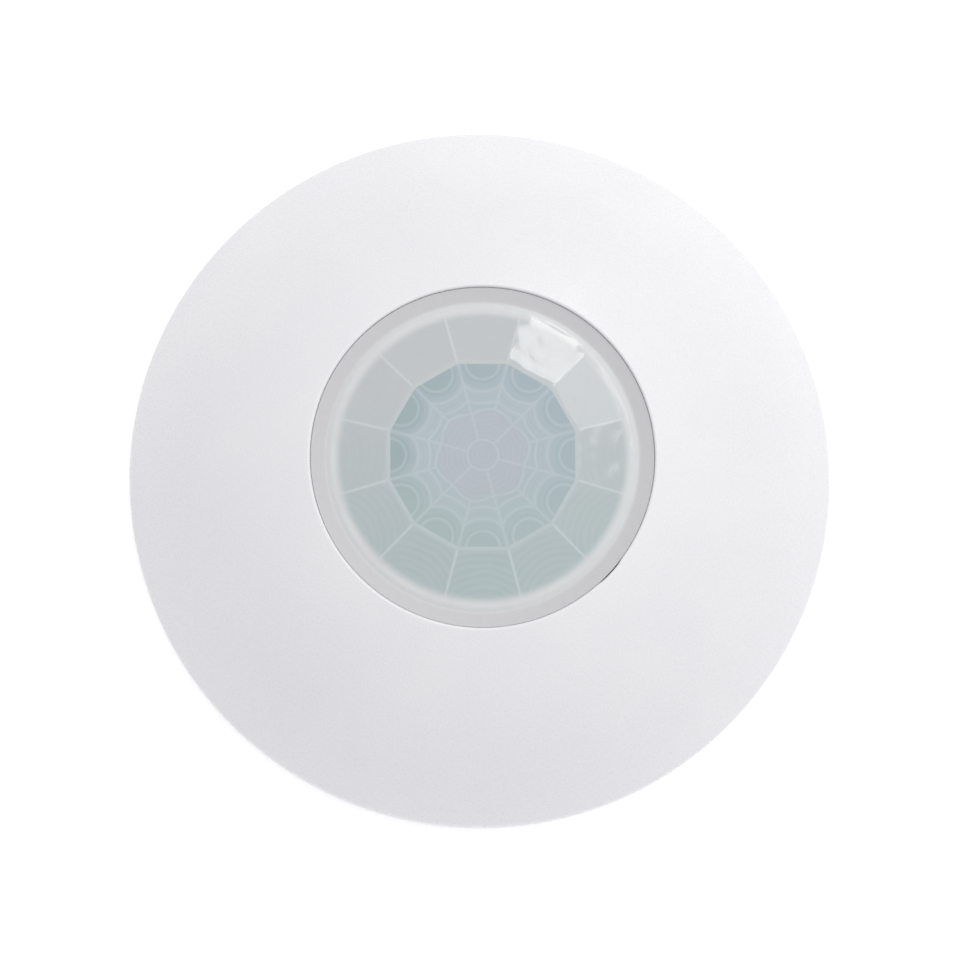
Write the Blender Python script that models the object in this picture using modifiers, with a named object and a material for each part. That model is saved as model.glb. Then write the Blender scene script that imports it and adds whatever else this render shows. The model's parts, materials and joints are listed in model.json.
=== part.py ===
"""Ceiling motion sensor: a round passive-infrared detector.

It lies on its back: the mounting face is z = 0 and the lens looks along +Z.
Three housings come apart on the bench: a mounting base that is screwed to the ceiling,
a chassis that twists onto it with a bayonet, and a domed cover that clips to the chassis.
"""

import math

import bmesh
import bpy
import numpy as np
from mathutils import Matrix, Vector

# ---------------------------------------------------------------- driving dimensions, metres
GAP = 0.0003
FINE = 48
ROUND = 36
SMALL = 12

COVER_RADIUS = 0.0500
COVER_WALL = 0.0020
COVER_EDGE_Z = 0.0016
DOME_RADIUS = 0.06435
DOME_CENTRE_Z = -0.0360
EDGE_FILLET = 0.0020
HOLE_RADIUS = 0.02395
HOLE_FILLET = 0.0009
SEAT_RADIUS = 0.0275
SEAT_Z = 0.0209
SKIRT_INNER_RADIUS = 0.0480
NOTCH_ANGLE = math.radians(-42.5)

LENS_TOP_Z = 0.0245
LENS_FLAT_APOTHEM = 0.01286
LENS_FACETS = 12
FACET_TILT = math.radians(11.0)
SHOULDER_TOP_SLOPE = math.radians(20.0)
SIDEWALL_SLOPE = math.radians(26.0)
SHOULDER_RADIUS = 0.0060
SHOULDER_INNER_R = 0.0208
LENS_BODY_RADIUS = HOLE_RADIUS - GAP
LENS_WALL = 0.0010
LENS_FLANGE_RADIUS = SEAT_RADIUS - GAP
LENS_FLANGE_THICKNESS = 0.0010

RETAINER_RADIUS = 0.0304
RETAINER_BORE = 0.0230
RETAINER_THICKNESS = 0.0013
STAKE_RING = 0.0290
STAKE_RADIUS = 0.0007
STAKE_ANGLES = [45.0, 135.0, 225.0, 315.0]
STAKE_END_Z = 0.0172
SNAP_STAKE_END_Z = 0.0091

BASE_RADIUS = 0.0472
BASE_FLOOR = 0.0020
BASE_RING_OUTER = 0.0436
BASE_RING_INNER = 0.0416
BASE_RING_TOP = 0.0058
CABLE_HOLE_RADIUS = 0.0090
SCREW_SLOT_WIDTH = 0.0038
SCREW_SLOT_RADIUS = 0.0310
SCREW_SLOT_SWEEP = 18.0
SPARE_HOLE_RADIUS = 0.0018
SPARE_HOLE_ANGLES = [80.0, 260.0]

BAYONET_ANGLES = [30.0, 150.0, 270.0]
LUG_HALF_ANGLE = 7.0
LEDGE_INNER = 0.0394
LEDGE_LOW = 0.0044
LEDGE_TOP = 0.0056
STOP_ANGLE = 3.0
STOP_GAP_ANGLE = 0.8
LEDGE_REACH_ANGLE = 9.5
TWIST_DEGREES = 18.0

CHASSIS_RADIUS = 0.0385
CHASSIS_LOW = 0.0025
CHASSIS_FLOOR_TOP = 0.0041
CHASSIS_WALL = 0.0016
CHASSIS_TOP = 0.0088
CHASSIS_HOLE_RADIUS = 0.0093
LUG_REACH = 0.0412
CATCH_REACH = 0.0396
CATCH_LOW = 0.0074
CATCH_TOP = 0.0086
SNAP_ANGLES = [90.0, 210.0, 330.0]
SNAP_EAR_ANGLES = [0.0, 120.0, 240.0]
SNAP_EAR_RING = 0.0396
SNAP_RING_RADII = (0.0399, 0.0413)
SNAP_RING_Z = (0.0094, 0.0103)
SNAP_BARB_RADIUS = 0.0389
SNAP_HOOK = 0.0008

BOARD_RADIUS = 0.0360
BOARD_LOW = 0.0086
BOARD_TOP = 0.0102
BOARD_NOTCH_HALF = 0.0080
BOARD_NOTCH_Y = -0.0300
PARTS_Z = BOARD_TOP + GAP
BOSS_RING = 0.0320
BOSS_RADIUS = 0.0030
BOSS_ANGLES = [90.0, 210.0, 330.0]
BOARD_SCREW_RADIUS = 0.0012

PYRO_LOW = 0.0135
PYRO_TOP = 0.0172
PYRO_CAN_RADIUS = 0.0041
PYRO_FLANGE_RADIUS = 0.00455
PYRO_LEAD_RING = 0.00254
PYRO_LEAD_RADIUS = 0.00023
PYRO_LEAD_ANGLES = [45.0, 135.0, 270.0]
PYRO_LEAD_END_Z = 0.0079

PLUNGER_RING = 0.0220
PLUNGER_ANGLE = 40.0
PLUNGER_RADIUS = 0.0011
PLUNGER_TRAVEL = 0.0010
PLUNGER_TIP_Z = BASE_FLOOR + 0.00035
PLUNGER_HOLE = 0.0015
COLLAR_LOW = 0.0054
COLLAR_TOP = 0.0060
SPRING_WIRE = 0.0002
SPRING_MEAN = 0.0017
SPRING_TURNS = 3

TERMINAL_COUNT = 6
TERMINAL_PITCH = 0.00508
TERMINAL_Y = -0.0222
TERMINAL_SIZE = Vector((0.0312, 0.0084, 0.0061))
TERMINAL_CAVITY_LOW = 0.0109
TERMINAL_CAVITY_TOP = 0.0146
TERMINAL_HEAD_Z = 0.0153
TERMINAL_HEAD_RADIUS = 0.0016
TERMINAL_SHANK_RADIUS = 0.0008
CLAMP_SIZE = Vector((0.0033, 0.0044, 0.0024))

DIP_CENTRE = Vector((0.0220, -0.0060, 0.0))
DIP_SIZE = Vector((0.0099, 0.0062, 0.0030))
DIP_PITCH = 0.00254
DIP_SLIDER_SIZE = Vector((0.0013, 0.0015, 0.0021))
DIP_REST_Y = -0.00105
TRIMMER_CENTRE = Vector((0.0125, -0.0108, 0.0))
TRIMMER_SIZE = Vector((0.0066, 0.0066, 0.0036))
TRIMMER_ROTOR_RADIUS = 0.0022
LED_CENTRE = (0.0080, 0.0025)

# ---------------------------------------------------------------- an empty scene
for old in list(bpy.data.objects):
    bpy.data.objects.remove(old, do_unlink=True)


def collection(name):
    made = bpy.data.collections.new(name)
    bpy.context.scene.collection.children.link(made)
    return made


PARTS = collection("motion_sensor")
CUTTERS = collection("cutters")


def material(name, colour, roughness, metallic=0.0):
    made = bpy.data.materials.new(name)
    made.use_nodes = True
    shader = made.node_tree.nodes["Principled BSDF"]
    shader.inputs["Base Color"].default_value = (*colour, 1.0)
    shader.inputs["Roughness"].default_value = roughness
    shader.inputs["Metallic"].default_value = metallic
    made.diffuse_color = (*colour, 1.0)
    return made


WHITE = material("white_housing", (0.86, 0.86, 0.87), 0.45)
BASE_WHITE = material("base_housing", (0.80, 0.80, 0.79), 0.50)
MILKY = material("milky_lens", (0.66, 0.72, 0.73), 0.30)
NYLON = material("natural_nylon", (0.78, 0.76, 0.70), 0.50)
GREEN = material("green_board", (0.03, 0.22, 0.10), 0.40)
BLACK = material("black_moulding", (0.02, 0.02, 0.02), 0.40)
GREY_RUBBER = material("grey_rubber", (0.25, 0.25, 0.26), 0.80)
TERMINAL_GREEN = material("terminal_green", (0.04, 0.35, 0.12), 0.45)
BLUE = material("trimmer_blue", (0.04, 0.14, 0.50), 0.40)
RED = material("dip_red", (0.55, 0.04, 0.03), 0.40)
CREAM = material("rotor_cream", (0.85, 0.80, 0.66), 0.45)
NICKEL = material("nickel_can", (0.72, 0.70, 0.66), 0.25, 1.0)
WINDOW = material("dark_window", (0.06, 0.05, 0.06), 0.15)
STEEL = material("zinc_steel", (0.70, 0.70, 0.71), 0.35, 1.0)
BRASS = material("brass", (0.75, 0.57, 0.26), 0.35, 1.0)
LED_RED = material("led_red", (0.65, 0.03, 0.02), 0.20)
CERAMIC = material("ceramic_tan", (0.62, 0.50, 0.34), 0.50)


# ---------------------------------------------------------------- modelling helpers
def add(name, mesh, location=(0.0, 0.0, 0.0), turn=0.0):
    """An object in the parts collection, turned about Z by `turn` degrees."""
    made = bpy.data.objects.new(name, mesh)
    made.location = location
    made.rotation_euler.z = math.radians(turn)
    PARTS.objects.link(made)
    return made


def finish(part, look, angle=35.0):
    """Gives a part its material and smooth shading that breaks at sharp edges."""
    part.data.materials.append(look)
    part.data.shade_smooth()
    part.data.set_sharp_from_angle(angle=math.radians(angle))
    return part


def mesh_of(bm, name):
    mesh = bpy.data.meshes.new(name)
    bm.to_mesh(mesh)
    bm.free()
    return mesh


def boxes(name, blocks, location=(0.0, 0.0, 0.0), turn=0.0):
    """One mesh with a box for each (size, centre)."""
    bm = bmesh.new()
    for size, centre in blocks:
        bmesh.ops.create_cube(bm, matrix=Matrix.Translation(centre) @ Matrix.Diagonal((*size, 1.0)))
    return add(name, mesh_of(bm, name), location, turn)


def box(name, size, location, turn=0.0):
    return boxes(name, [(size, Vector((0.0, 0.0, 0.0)))], location, turn)


def standing_box(name, size, centre_xy, low_z, turn=0.0):
    """A box that stands on the height low_z."""
    return box(name, size, (centre_xy[0], centre_xy[1], low_z + size[2] / 2), turn)


def rods(name, radius, low_z, high_z, centres, segments=SMALL, top_radius=None):
    """One mesh with an upright cylinder or cone at each (x, y)."""
    bm = bmesh.new()
    for x, y in centres:
        bmesh.ops.create_cone(
            bm,
            cap_ends=True,
            segments=segments,
            radius1=radius,
            radius2=radius if top_radius is None else top_radius,
            depth=high_z - low_z,
            matrix=Matrix.Translation((x, y, (low_z + high_z) / 2)),
        )
    return add(name, mesh_of(bm, name))


def turned(name, profile, segments=ROUND, closed=True, location=(0.0, 0.0, 0.0)):
    """A profile of (radius, z) points, down its outer side, turned about Z."""
    count = len(profile)
    mesh = bpy.data.meshes.new(name)
    edges = [(i, i + 1) for i in range(count - 1)] + ([(count - 1, 0)] if closed else [])
    mesh.from_pydata([(radius, 0.0, z) for radius, z in profile], edges, [])
    made = add(name, mesh, location)
    screw = made.modifiers.new("Turn", "SCREW")
    screw.axis = "Z"
    screw.steps = segments
    screw.render_steps = segments
    screw.use_merge_vertices = True
    screw.merge_threshold = 0.00001
    screw.use_smooth_shade = True
    return made


def plate(name, outlines, low_z, high_z, location=(0.0, 0.0)):
    """A flat 2D curve with its holes, given its thickness and made a mesh."""
    curve = bpy.data.curves.new(name, "CURVE")
    curve.dimensions = "2D"
    curve.fill_mode = "BOTH"
    curve.extrude = (high_z - low_z) / 2
    for outline in outlines:
        spline = curve.splines.new("POLY")
        spline.points.add(len(outline) - 1)
        for point, (x, y) in zip(spline.points, outline):
            point.co = (x, y, 0.0, 1.0)
        spline.use_cyclic_u = True
    guide = add(name + "_outline", curve, (location[0], location[1], (low_z + high_z) / 2))
    return meshed(name, guide)


def meshed(name, guide):
    """The mesh of a curve object, with its caps welded, in the curve's place."""
    bpy.context.view_layer.update()
    evaluated = guide.evaluated_get(bpy.context.evaluated_depsgraph_get())
    mesh = bpy.data.meshes.new_from_object(evaluated)
    bm = bmesh.new()
    bm.from_mesh(mesh)
    bmesh.ops.remove_doubles(bm, verts=bm.verts, dist=0.000001)
    bmesh.ops.recalc_face_normals(bm, faces=bm.faces)
    bm.to_mesh(mesh)
    bm.free()
    made = add(name, mesh)
    made.matrix_world = guide.matrix_world.copy()
    bpy.data.objects.remove(guide, do_unlink=True)
    return made


def combine(part, tool, operation):
    """Cuts the tool out of the part, or joins it to the part, and files the tool away."""
    boolean = part.modifiers.new(f"{operation.title()} {tool.name}"[:60], "BOOLEAN")
    boolean.operation = operation
    boolean.solver = "EXACT"
    boolean.object = tool
    PARTS.objects.unlink(tool)
    CUTTERS.objects.link(tool)
    tool.hide_render = True
    tool.display_type = "WIRE"


def cut(part, *tools):
    for tool in tools:
        combine(part, tool, "DIFFERENCE")
    return part


def join(part, *tools):
    for tool in tools:
        combine(part, tool, "UNION")
    return part


def polar(radius, degrees):
    """The (x, y) of a point at this radius and direction."""
    angle = math.radians(degrees)
    return radius * math.cos(angle), radius * math.sin(angle)


def ring_of(radius, angles):
    return [polar(radius, degrees) for degrees in angles]


def arc(radius, start, end, steps):
    """Points along an arc about the origin, angles in degrees."""
    return [polar(radius, degrees) for degrees in np.linspace(start, end, steps + 1)]


def circle(radius, segments, centre=(0.0, 0.0)):
    turn = np.arange(segments) * 2 * math.pi / segments
    return [(centre[0] + radius * math.cos(a), centre[1] + radius * math.sin(a)) for a in turn]


def sector(name, inner, outer, low_z, high_z, start, end, steps=6):
    """A block between two radii, two heights and two angles in degrees."""
    outline = arc(outer, start, end, steps) + arc(inner, end, start, steps)
    return plate(name, [outline], low_z, high_z)


def dome_z(radius, inset=0.0):
    """Height of the dome's surface, or of the surface `inset` below it."""
    return DOME_CENTRE_Z + math.sqrt((DOME_RADIUS - inset) ** 2 - radius**2)


def fillet(centre, radius, start, end, steps):
    """(radius, z) points along a rounded corner, angles in radians."""
    return [
        (centre[0] + radius * math.cos(a), centre[1] + radius * math.sin(a))
        for a in np.linspace(start, end, steps + 1)
    ]


def dome_arc(start_radius, end_radius, steps, inset=0.0):
    """(radius, z) points on the dome between two radii, ends included."""
    sphere = DOME_RADIUS - inset
    angles = np.linspace(math.asin(start_radius / sphere), math.asin(end_radius / sphere), steps + 1)
    return [(sphere * math.sin(a), DOME_CENTRE_Z + sphere * math.cos(a)) for a in angles]


# ---------------------------------------------------------------- front cover
def front_cover():
    """The moulded dome: rounded hole rim, seat for the lens flange, stakes for its inner rings."""
    rim_r = HOLE_RADIUS + HOLE_FILLET
    rim_z = dome_z(rim_r, HOLE_FILLET)
    rim_turn = math.atan2(rim_z - DOME_CENTRE_Z, rim_r)
    edge_r = COVER_RADIUS - EDGE_FILLET
    edge_z = dome_z(edge_r, EDGE_FILLET)
    edge_turn = math.atan2(edge_z - DOME_CENTRE_Z, edge_r)
    rim = fillet((rim_r, rim_z), HOLE_FILLET, math.pi, rim_turn, 3)
    edge = fillet((edge_r, edge_z), EDGE_FILLET, edge_turn, 0.0, 2)
    dome = dome_arc(rim[-1][0], edge[0][0], 7)[1:-1]
    inside = dome_arc(SKIRT_INNER_RADIUS - 0.0012, SEAT_RADIUS, 4, COVER_WALL)
    profile = rim + dome + edge + [(COVER_RADIUS, COVER_EDGE_Z), (SKIRT_INNER_RADIUS, COVER_EDGE_Z)]
    profile += [(SKIRT_INNER_RADIUS, inside[0][1] - 0.0014)] + inside
    profile += [(SEAT_RADIUS, SEAT_Z), (HOLE_RADIUS, SEAT_Z)]
    cover = turned("front_cover", profile, FINE)
    stake_top = dome_z(STAKE_RING) - COVER_WALL / 2
    stakes = ring_of(STAKE_RING, STAKE_ANGLES)
    join(cover, rods("retainer_stakes", STAKE_RADIUS, STAKE_END_Z, stake_top, stakes, 8))
    ear_top = dome_z(SNAP_EAR_RING) - COVER_WALL / 2
    ears = ring_of(SNAP_EAR_RING, SNAP_EAR_ANGLES)
    join(cover, rods("snap_stakes", STAKE_RADIUS, SNAP_STAKE_END_Z, ear_top, ears, 8))
    notch_xy = polar(HOLE_RADIUS, math.degrees(NOTCH_ANGLE))
    notch_size = Vector((0.0014, 0.0016, 0.0012))
    cut(cover, box("pry_notch", notch_size, (*notch_xy, dome_z(rim_r)), math.degrees(NOTCH_ANGLE)))
    return finish(cover, WHITE)


# ---------------------------------------------------------------- lens
def lens_blank(name, inset, low_z):
    """A turned body trimmed by a twelve-sided frustum, all its walls moved in by `inset`."""
    top_z = LENS_TOP_Z - inset
    apothem = LENS_FLAT_APOTHEM - inset * math.tan(FACET_TILT / 2)
    shoulder_z = LENS_TOP_Z - (SHOULDER_INNER_R - LENS_FLAT_APOTHEM) * math.tan(FACET_TILT)
    centre = (
        SHOULDER_INNER_R - SHOULDER_RADIUS * math.sin(SHOULDER_TOP_SLOPE),
        shoulder_z - SHOULDER_RADIUS * math.cos(SHOULDER_TOP_SLOPE),
    )
    start = math.pi / 2 - SHOULDER_TOP_SLOPE
    end = math.pi / 2 - SIDEWALL_SLOPE
    shoulder = fillet(centre, SHOULDER_RADIUS - inset, start, end, 3 if inset == 0.0 else 2)
    above = shoulder[0][0] - LENS_FLAT_APOTHEM / 2
    peak = (LENS_FLAT_APOTHEM / 2, shoulder[0][1] + above * math.tan(SHOULDER_TOP_SLOPE))
    wall_r = LENS_BODY_RADIUS - inset
    wall_z = shoulder[-1][1] - (wall_r - shoulder[-1][0]) * math.tan(SIDEWALL_SLOPE)
    profile = [(0.0, peak[1]), peak] + shoulder + [(wall_r, wall_z)]
    if inset == 0.0:
        flange_top = SEAT_Z - GAP
        profile += [(wall_r, flange_top), (LENS_FLANGE_RADIUS, flange_top), (LENS_FLANGE_RADIUS, low_z)]
    else:
        profile += [(wall_r, low_z)]
    blank = turned(name, profile + [(0.0, low_z)], ROUND, closed=False)
    depth = top_z - low_z + 0.001
    spread = depth / math.tan(FACET_TILT)
    per_apothem = 1.0 / math.cos(math.pi / LENS_FACETS)
    frustum = rods(
        name + "_facets", (apothem + spread) * per_apothem, top_z - depth, top_z, [(0.0, 0.0)],
        LENS_FACETS, apothem * per_apothem,
    )
    frustum.rotation_euler.z = math.pi / LENS_FACETS
    combine(blank, frustum, "INTERSECT")
    return blank


def lens():
    """A hollow milky shell with a flat twelve-sided middle, twelve sloping facets and a flange."""
    low_z = SEAT_Z - GAP - LENS_FLANGE_THICKNESS
    shell = lens_blank("lens", 0.0, low_z)
    cut(shell, lens_blank("lens_hollow", LENS_WALL, low_z - 0.001))
    return finish(shell, MILKY, 12.0)


def lens_retainer():
    """The ring that clamps the lens flange; four stakes of the cover pass through it."""
    top = SEAT_Z - GAP - LENS_FLANGE_THICKNESS - GAP
    outer_top = dome_z(RETAINER_RADIUS, COVER_WALL) - 2 * GAP
    bend = LENS_FLANGE_RADIUS + GAP
    profile = [
        (bend, top),
        (RETAINER_RADIUS, outer_top),
        (RETAINER_RADIUS, outer_top - RETAINER_THICKNESS),
        (bend, top - RETAINER_THICKNESS),
        (RETAINER_BORE, top - RETAINER_THICKNESS),
        (RETAINER_BORE, top),
    ]
    ring = turned("lens_retainer", profile, ROUND)
    stakes = ring_of(STAKE_RING, STAKE_ANGLES)
    holes = rods("retainer_holes", STAKE_RADIUS + 1.3 * GAP, 0.015, 0.021, stakes, 8)
    return finish(cut(ring, holes), NYLON)


def snap_ring():
    """A ring under the dome with three springy hooked arms and three staked ears."""
    low, high = SNAP_RING_Z
    inner, outer = SNAP_RING_RADII
    profile = [(outer, high), (outer, low), (inner, low), (inner, high)]
    ring = turned("snap_ring", profile, FINE)
    hook = CATCH_LOW - GAP
    for angle in SNAP_ANGLES:
        arm = (inner + 0.0002, outer - 0.0001, hook - SNAP_HOOK, low + 0.0002)
        barb = (SNAP_BARB_RADIUS, inner + 0.0005, hook - SNAP_HOOK + 0.00005, hook)
        join(ring, sector(f"arm_{angle:.0f}", *arm, angle - 5.0, angle + 5.0, 3))
        join(ring, sector(f"barb_{angle:.0f}", *barb, angle - 4.5, angle + 4.5, 3))
    ears = ring_of(SNAP_EAR_RING, SNAP_EAR_ANGLES)
    join(ring, rods("ears", 0.0019, low + 0.00005, high - 0.00005, ears))
    cut(ring, rods("ear_holes", STAKE_RADIUS + 1.3 * GAP, low - 0.001, high + 0.001, ears, 8))
    return finish(ring, NYLON)


# ---------------------------------------------------------------- mounting base
def ramp_pocket():
    """A sector whose floor drops like a screw thread as the head is twisted."""
    start, end = -0.5, TWIST_DEGREES + 4.0
    pocket = sector(
        "ramp_pocket", PLUNGER_RING - 0.002, PLUNGER_RING + 0.002, 0.0, 0.004,
        PLUNGER_ANGLE + start, PLUNGER_ANGLE + end, 12,
    )
    drop_per_radian = PLUNGER_TRAVEL / math.radians(TWIST_DEGREES)
    for vertex in pocket.data.vertices:
        turn = math.atan2(vertex.co.y, vertex.co.x) - math.radians(PLUNGER_ANGLE)
        if vertex.co.z < 0:
            vertex.co.z = BASE_FLOOR - drop_per_radian * turn - pocket.location.z
    return pocket


def mounting_base():
    """The ceiling plate: screw slots, a ring with three bayonet ledges, stops and the tamper ramp."""
    profile = [
        (BASE_RING_OUTER, BASE_RING_TOP),
        (BASE_RING_OUTER, BASE_FLOOR),
        (BASE_RADIUS, BASE_FLOOR),
        (BASE_RADIUS, 0.0),
        (CABLE_HOLE_RADIUS, 0.0),
        (CABLE_HOLE_RADIUS, BASE_FLOOR),
        (BASE_RING_INNER, BASE_FLOOR),
        (BASE_RING_INNER, BASE_RING_TOP),
    ]
    base = turned("mounting_base", profile, FINE)
    for angle in BAYONET_ANGLES:
        face = angle - LUG_HALF_ANGLE - STOP_GAP_ANGLE
        back = face - STOP_ANGLE
        bury = BASE_RING_INNER + 0.0003
        ledge = (LEDGE_INNER, bury, LEDGE_LOW, LEDGE_TOP, back, angle + LEDGE_REACH_ANGLE)
        stop_radii = (LEDGE_INNER + 0.0002, bury + 0.0004)
        stop = (*stop_radii, BASE_FLOOR - 0.0003, LEDGE_LOW + 0.0003, back + 0.3, face, 2)
        join(base, sector(f"ledge_{angle:.0f}", *ledge), sector(f"stop_{angle:.0f}", *stop))
    for middle in (0.0, 180.0):
        inner = SCREW_SLOT_RADIUS - SCREW_SLOT_WIDTH / 2
        outer = SCREW_SLOT_RADIUS + SCREW_SLOT_WIDTH / 2
        sweep = (middle - SCREW_SLOT_SWEEP / 2, middle + SCREW_SLOT_SWEEP / 2)
        cut(base, sector(f"slot_{middle:.0f}", inner, outer, -0.001, 0.003, *sweep))
    spare_holes = ring_of(SCREW_SLOT_RADIUS, SPARE_HOLE_ANGLES)
    cut(base, rods("spare_holes", SPARE_HOLE_RADIUS, -0.001, 0.003, spare_holes))
    cut(base, ramp_pocket())
    return finish(base, BASE_WHITE)


def cable_grommet():
    """A soft sleeve that lines the cable hole and stands up through the chassis."""
    profile = [
        (0.0082, 0.0052),
        (0.0087, 0.0047),
        (0.0087, GAP),
        (0.0070, GAP),
        (0.0070, 0.0047),
        (0.0075, 0.0052),
    ]
    return finish(turned("cable_grommet", profile, 28), GREY_RUBBER)


# ---------------------------------------------------------------- chassis
def chassis():
    """The tray that carries the board: lugs below, snap catches outside, screw bosses inside."""
    profile = [
        (CHASSIS_RADIUS, CHASSIS_TOP),
        (CHASSIS_RADIUS, CHASSIS_LOW),
        (CHASSIS_HOLE_RADIUS, CHASSIS_LOW),
        (CHASSIS_HOLE_RADIUS, CHASSIS_FLOOR_TOP),
        (CHASSIS_RADIUS - CHASSIS_WALL, CHASSIS_FLOOR_TOP),
        (CHASSIS_RADIUS - CHASSIS_WALL, CHASSIS_TOP),
    ]
    tray = turned("chassis", profile, FINE)
    root = CHASSIS_RADIUS - 0.0005
    for angle in BAYONET_ANGLES:
        lug = (root, LUG_REACH, CHASSIS_LOW + 0.0001, CHASSIS_FLOOR_TOP - 0.0001)
        span = (angle - LUG_HALF_ANGLE, angle + LUG_HALF_ANGLE)
        join(tray, sector(f"lug_{angle:.0f}", *lug, *span, 4))
    for angle in SNAP_ANGLES:
        catch = (root, CATCH_REACH, CATCH_LOW, CATCH_TOP)
        join(tray, sector(f"catch_{angle:.0f}", *catch, angle - 6.0, angle + 6.0, 4))
    bosses = ring_of(BOSS_RING, BOSS_ANGLES)
    join(tray, rods("bosses", BOSS_RADIUS, CHASSIS_FLOOR_TOP - 0.0003, BOARD_LOW - GAP, bosses))
    cut(tray, rods("boss_holes", BOARD_SCREW_RADIUS + GAP, 0.0046, BOARD_LOW, bosses))
    plunger_xy = polar(PLUNGER_RING, PLUNGER_ANGLE)
    guide = (PLUNGER_HOLE, CHASSIS_LOW - 0.001, CHASSIS_FLOOR_TOP + 0.001)
    cut(tray, rods("plunger_guide", *guide, [plunger_xy]))
    return finish(tray, BASE_WHITE)


def circuit_board():
    """A round board with a notch for the cable and holes for screws, leads and plunger."""
    notch = math.degrees(math.asin(BOARD_NOTCH_HALF / BOARD_RADIUS))
    edge = arc(BOARD_RADIUS, -90.0 + notch, 270.0 - notch, FINE - 4)
    edge += [(-BOARD_NOTCH_HALF, BOARD_NOTCH_Y), (BOARD_NOTCH_HALF, BOARD_NOTCH_Y)]
    holes = [circle(BOARD_SCREW_RADIUS + GAP, SMALL, xy) for xy in ring_of(BOSS_RING, BOSS_ANGLES)]
    holes += [circle(PYRO_LEAD_RADIUS + GAP, 8, xy) for xy in ring_of(PYRO_LEAD_RING, PYRO_LEAD_ANGLES)]
    holes += [circle(PLUNGER_HOLE, SMALL, polar(PLUNGER_RING, PLUNGER_ANGLE))]
    return finish(plate("circuit_board", [edge] + holes, BOARD_LOW, BOARD_TOP), GREEN)


def board_screws():
    """Three pan-head screws with a cross recess, through the board into the chassis bosses."""
    head_low = BOARD_TOP + GAP
    for number, (x, y) in enumerate(ring_of(BOSS_RING, BOSS_ANGLES), 1):
        profile = [
            (0.0, 0.0014),
            (0.0012, 0.0014),
            (0.0022, 0.0010),
            (0.0024, 0.0),
            (BOARD_SCREW_RADIUS, 0.0),
            (BOARD_SCREW_RADIUS, -0.0046),
            (0.0, -0.0052),
        ]
        screw = turned(f"board_screw_{number}", profile, SMALL, False, (x, y, head_low))
        for arm, size in enumerate([(0.0024, 0.0005, 0.0012), (0.0005, 0.0024, 0.0012)]):
            cut(screw, box(f"recess_{number}_{arm}", size, (x, y, head_low + 0.0014)))
        finish(screw, STEEL)


# ---------------------------------------------------------------- infrared detector
def pyro():
    """The metal can with its window, its three leads and the spacer under it."""
    profile = [
        (0.0, PYRO_TOP),
        (PYRO_CAN_RADIUS - 0.0003, PYRO_TOP),
        (PYRO_CAN_RADIUS, PYRO_TOP - 0.0003),
        (PYRO_CAN_RADIUS, PYRO_LOW + 0.0005),
        (PYRO_FLANGE_RADIUS, PYRO_LOW + 0.0005),
        (PYRO_FLANGE_RADIUS, PYRO_LOW),
        (0.0, PYRO_LOW),
    ]
    can = turned("pyro_can", profile, 24, closed=False)
    cut(can, box("window_recess", (0.0046, 0.0036, 0.0012), (0.0, 0.0, PYRO_TOP)))
    finish(can, NICKEL)
    window_size = (0.0040, 0.0030, 0.0003)
    finish(standing_box("pyro_window", window_size, (0.0, 0.0), PYRO_TOP - 0.0003), WINDOW)
    for number, (x, y) in enumerate(ring_of(PYRO_LEAD_RING, PYRO_LEAD_ANGLES), 1):
        lead = rods(f"pyro_lead_{number}", PYRO_LEAD_RADIUS, PYRO_LEAD_END_Z, PYRO_LOW - GAP, [(x, y)], 6)
        finish(lead, STEEL)
    collar = [(0.0048, 0.0130), (0.0050, PARTS_Z), (0.0032, PARTS_Z), (0.0032, 0.0130)]
    finish(turned("pyro_collar", collar, 24), BLACK)


# ---------------------------------------------------------------- terminals
def terminal_xs():
    return [(i - (TERMINAL_COUNT - 1) / 2) * TERMINAL_PITCH for i in range(TERMINAL_COUNT)]


def terminal_block():
    """Six poles: a wire mouth in front, and above it the well of the screw."""
    block = standing_box("terminal_block", TERMINAL_SIZE, (0.0, TERMINAL_Y), PARTS_Z)
    mouth_size = (0.0039, 0.0084, TERMINAL_CAVITY_TOP - TERMINAL_CAVITY_LOW)
    mouth_z = (TERMINAL_CAVITY_TOP + TERMINAL_CAVITY_LOW) / 2
    mouths = [(mouth_size, Vector((x, TERMINAL_Y - 0.0010, mouth_z))) for x in terminal_xs()]
    cut(block, boxes("wire_mouths", mouths))
    centres = [(x, TERMINAL_Y) for x in terminal_xs()]
    cut(block, rods("head_wells", TERMINAL_HEAD_RADIUS + GAP, TERMINAL_HEAD_Z - GAP, 0.018, centres))
    cut(block, rods("shank_holes", TERMINAL_SHANK_RADIUS + GAP, 0.0143, 0.0152, centres, 12))
    return finish(block, TERMINAL_GREEN)


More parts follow.
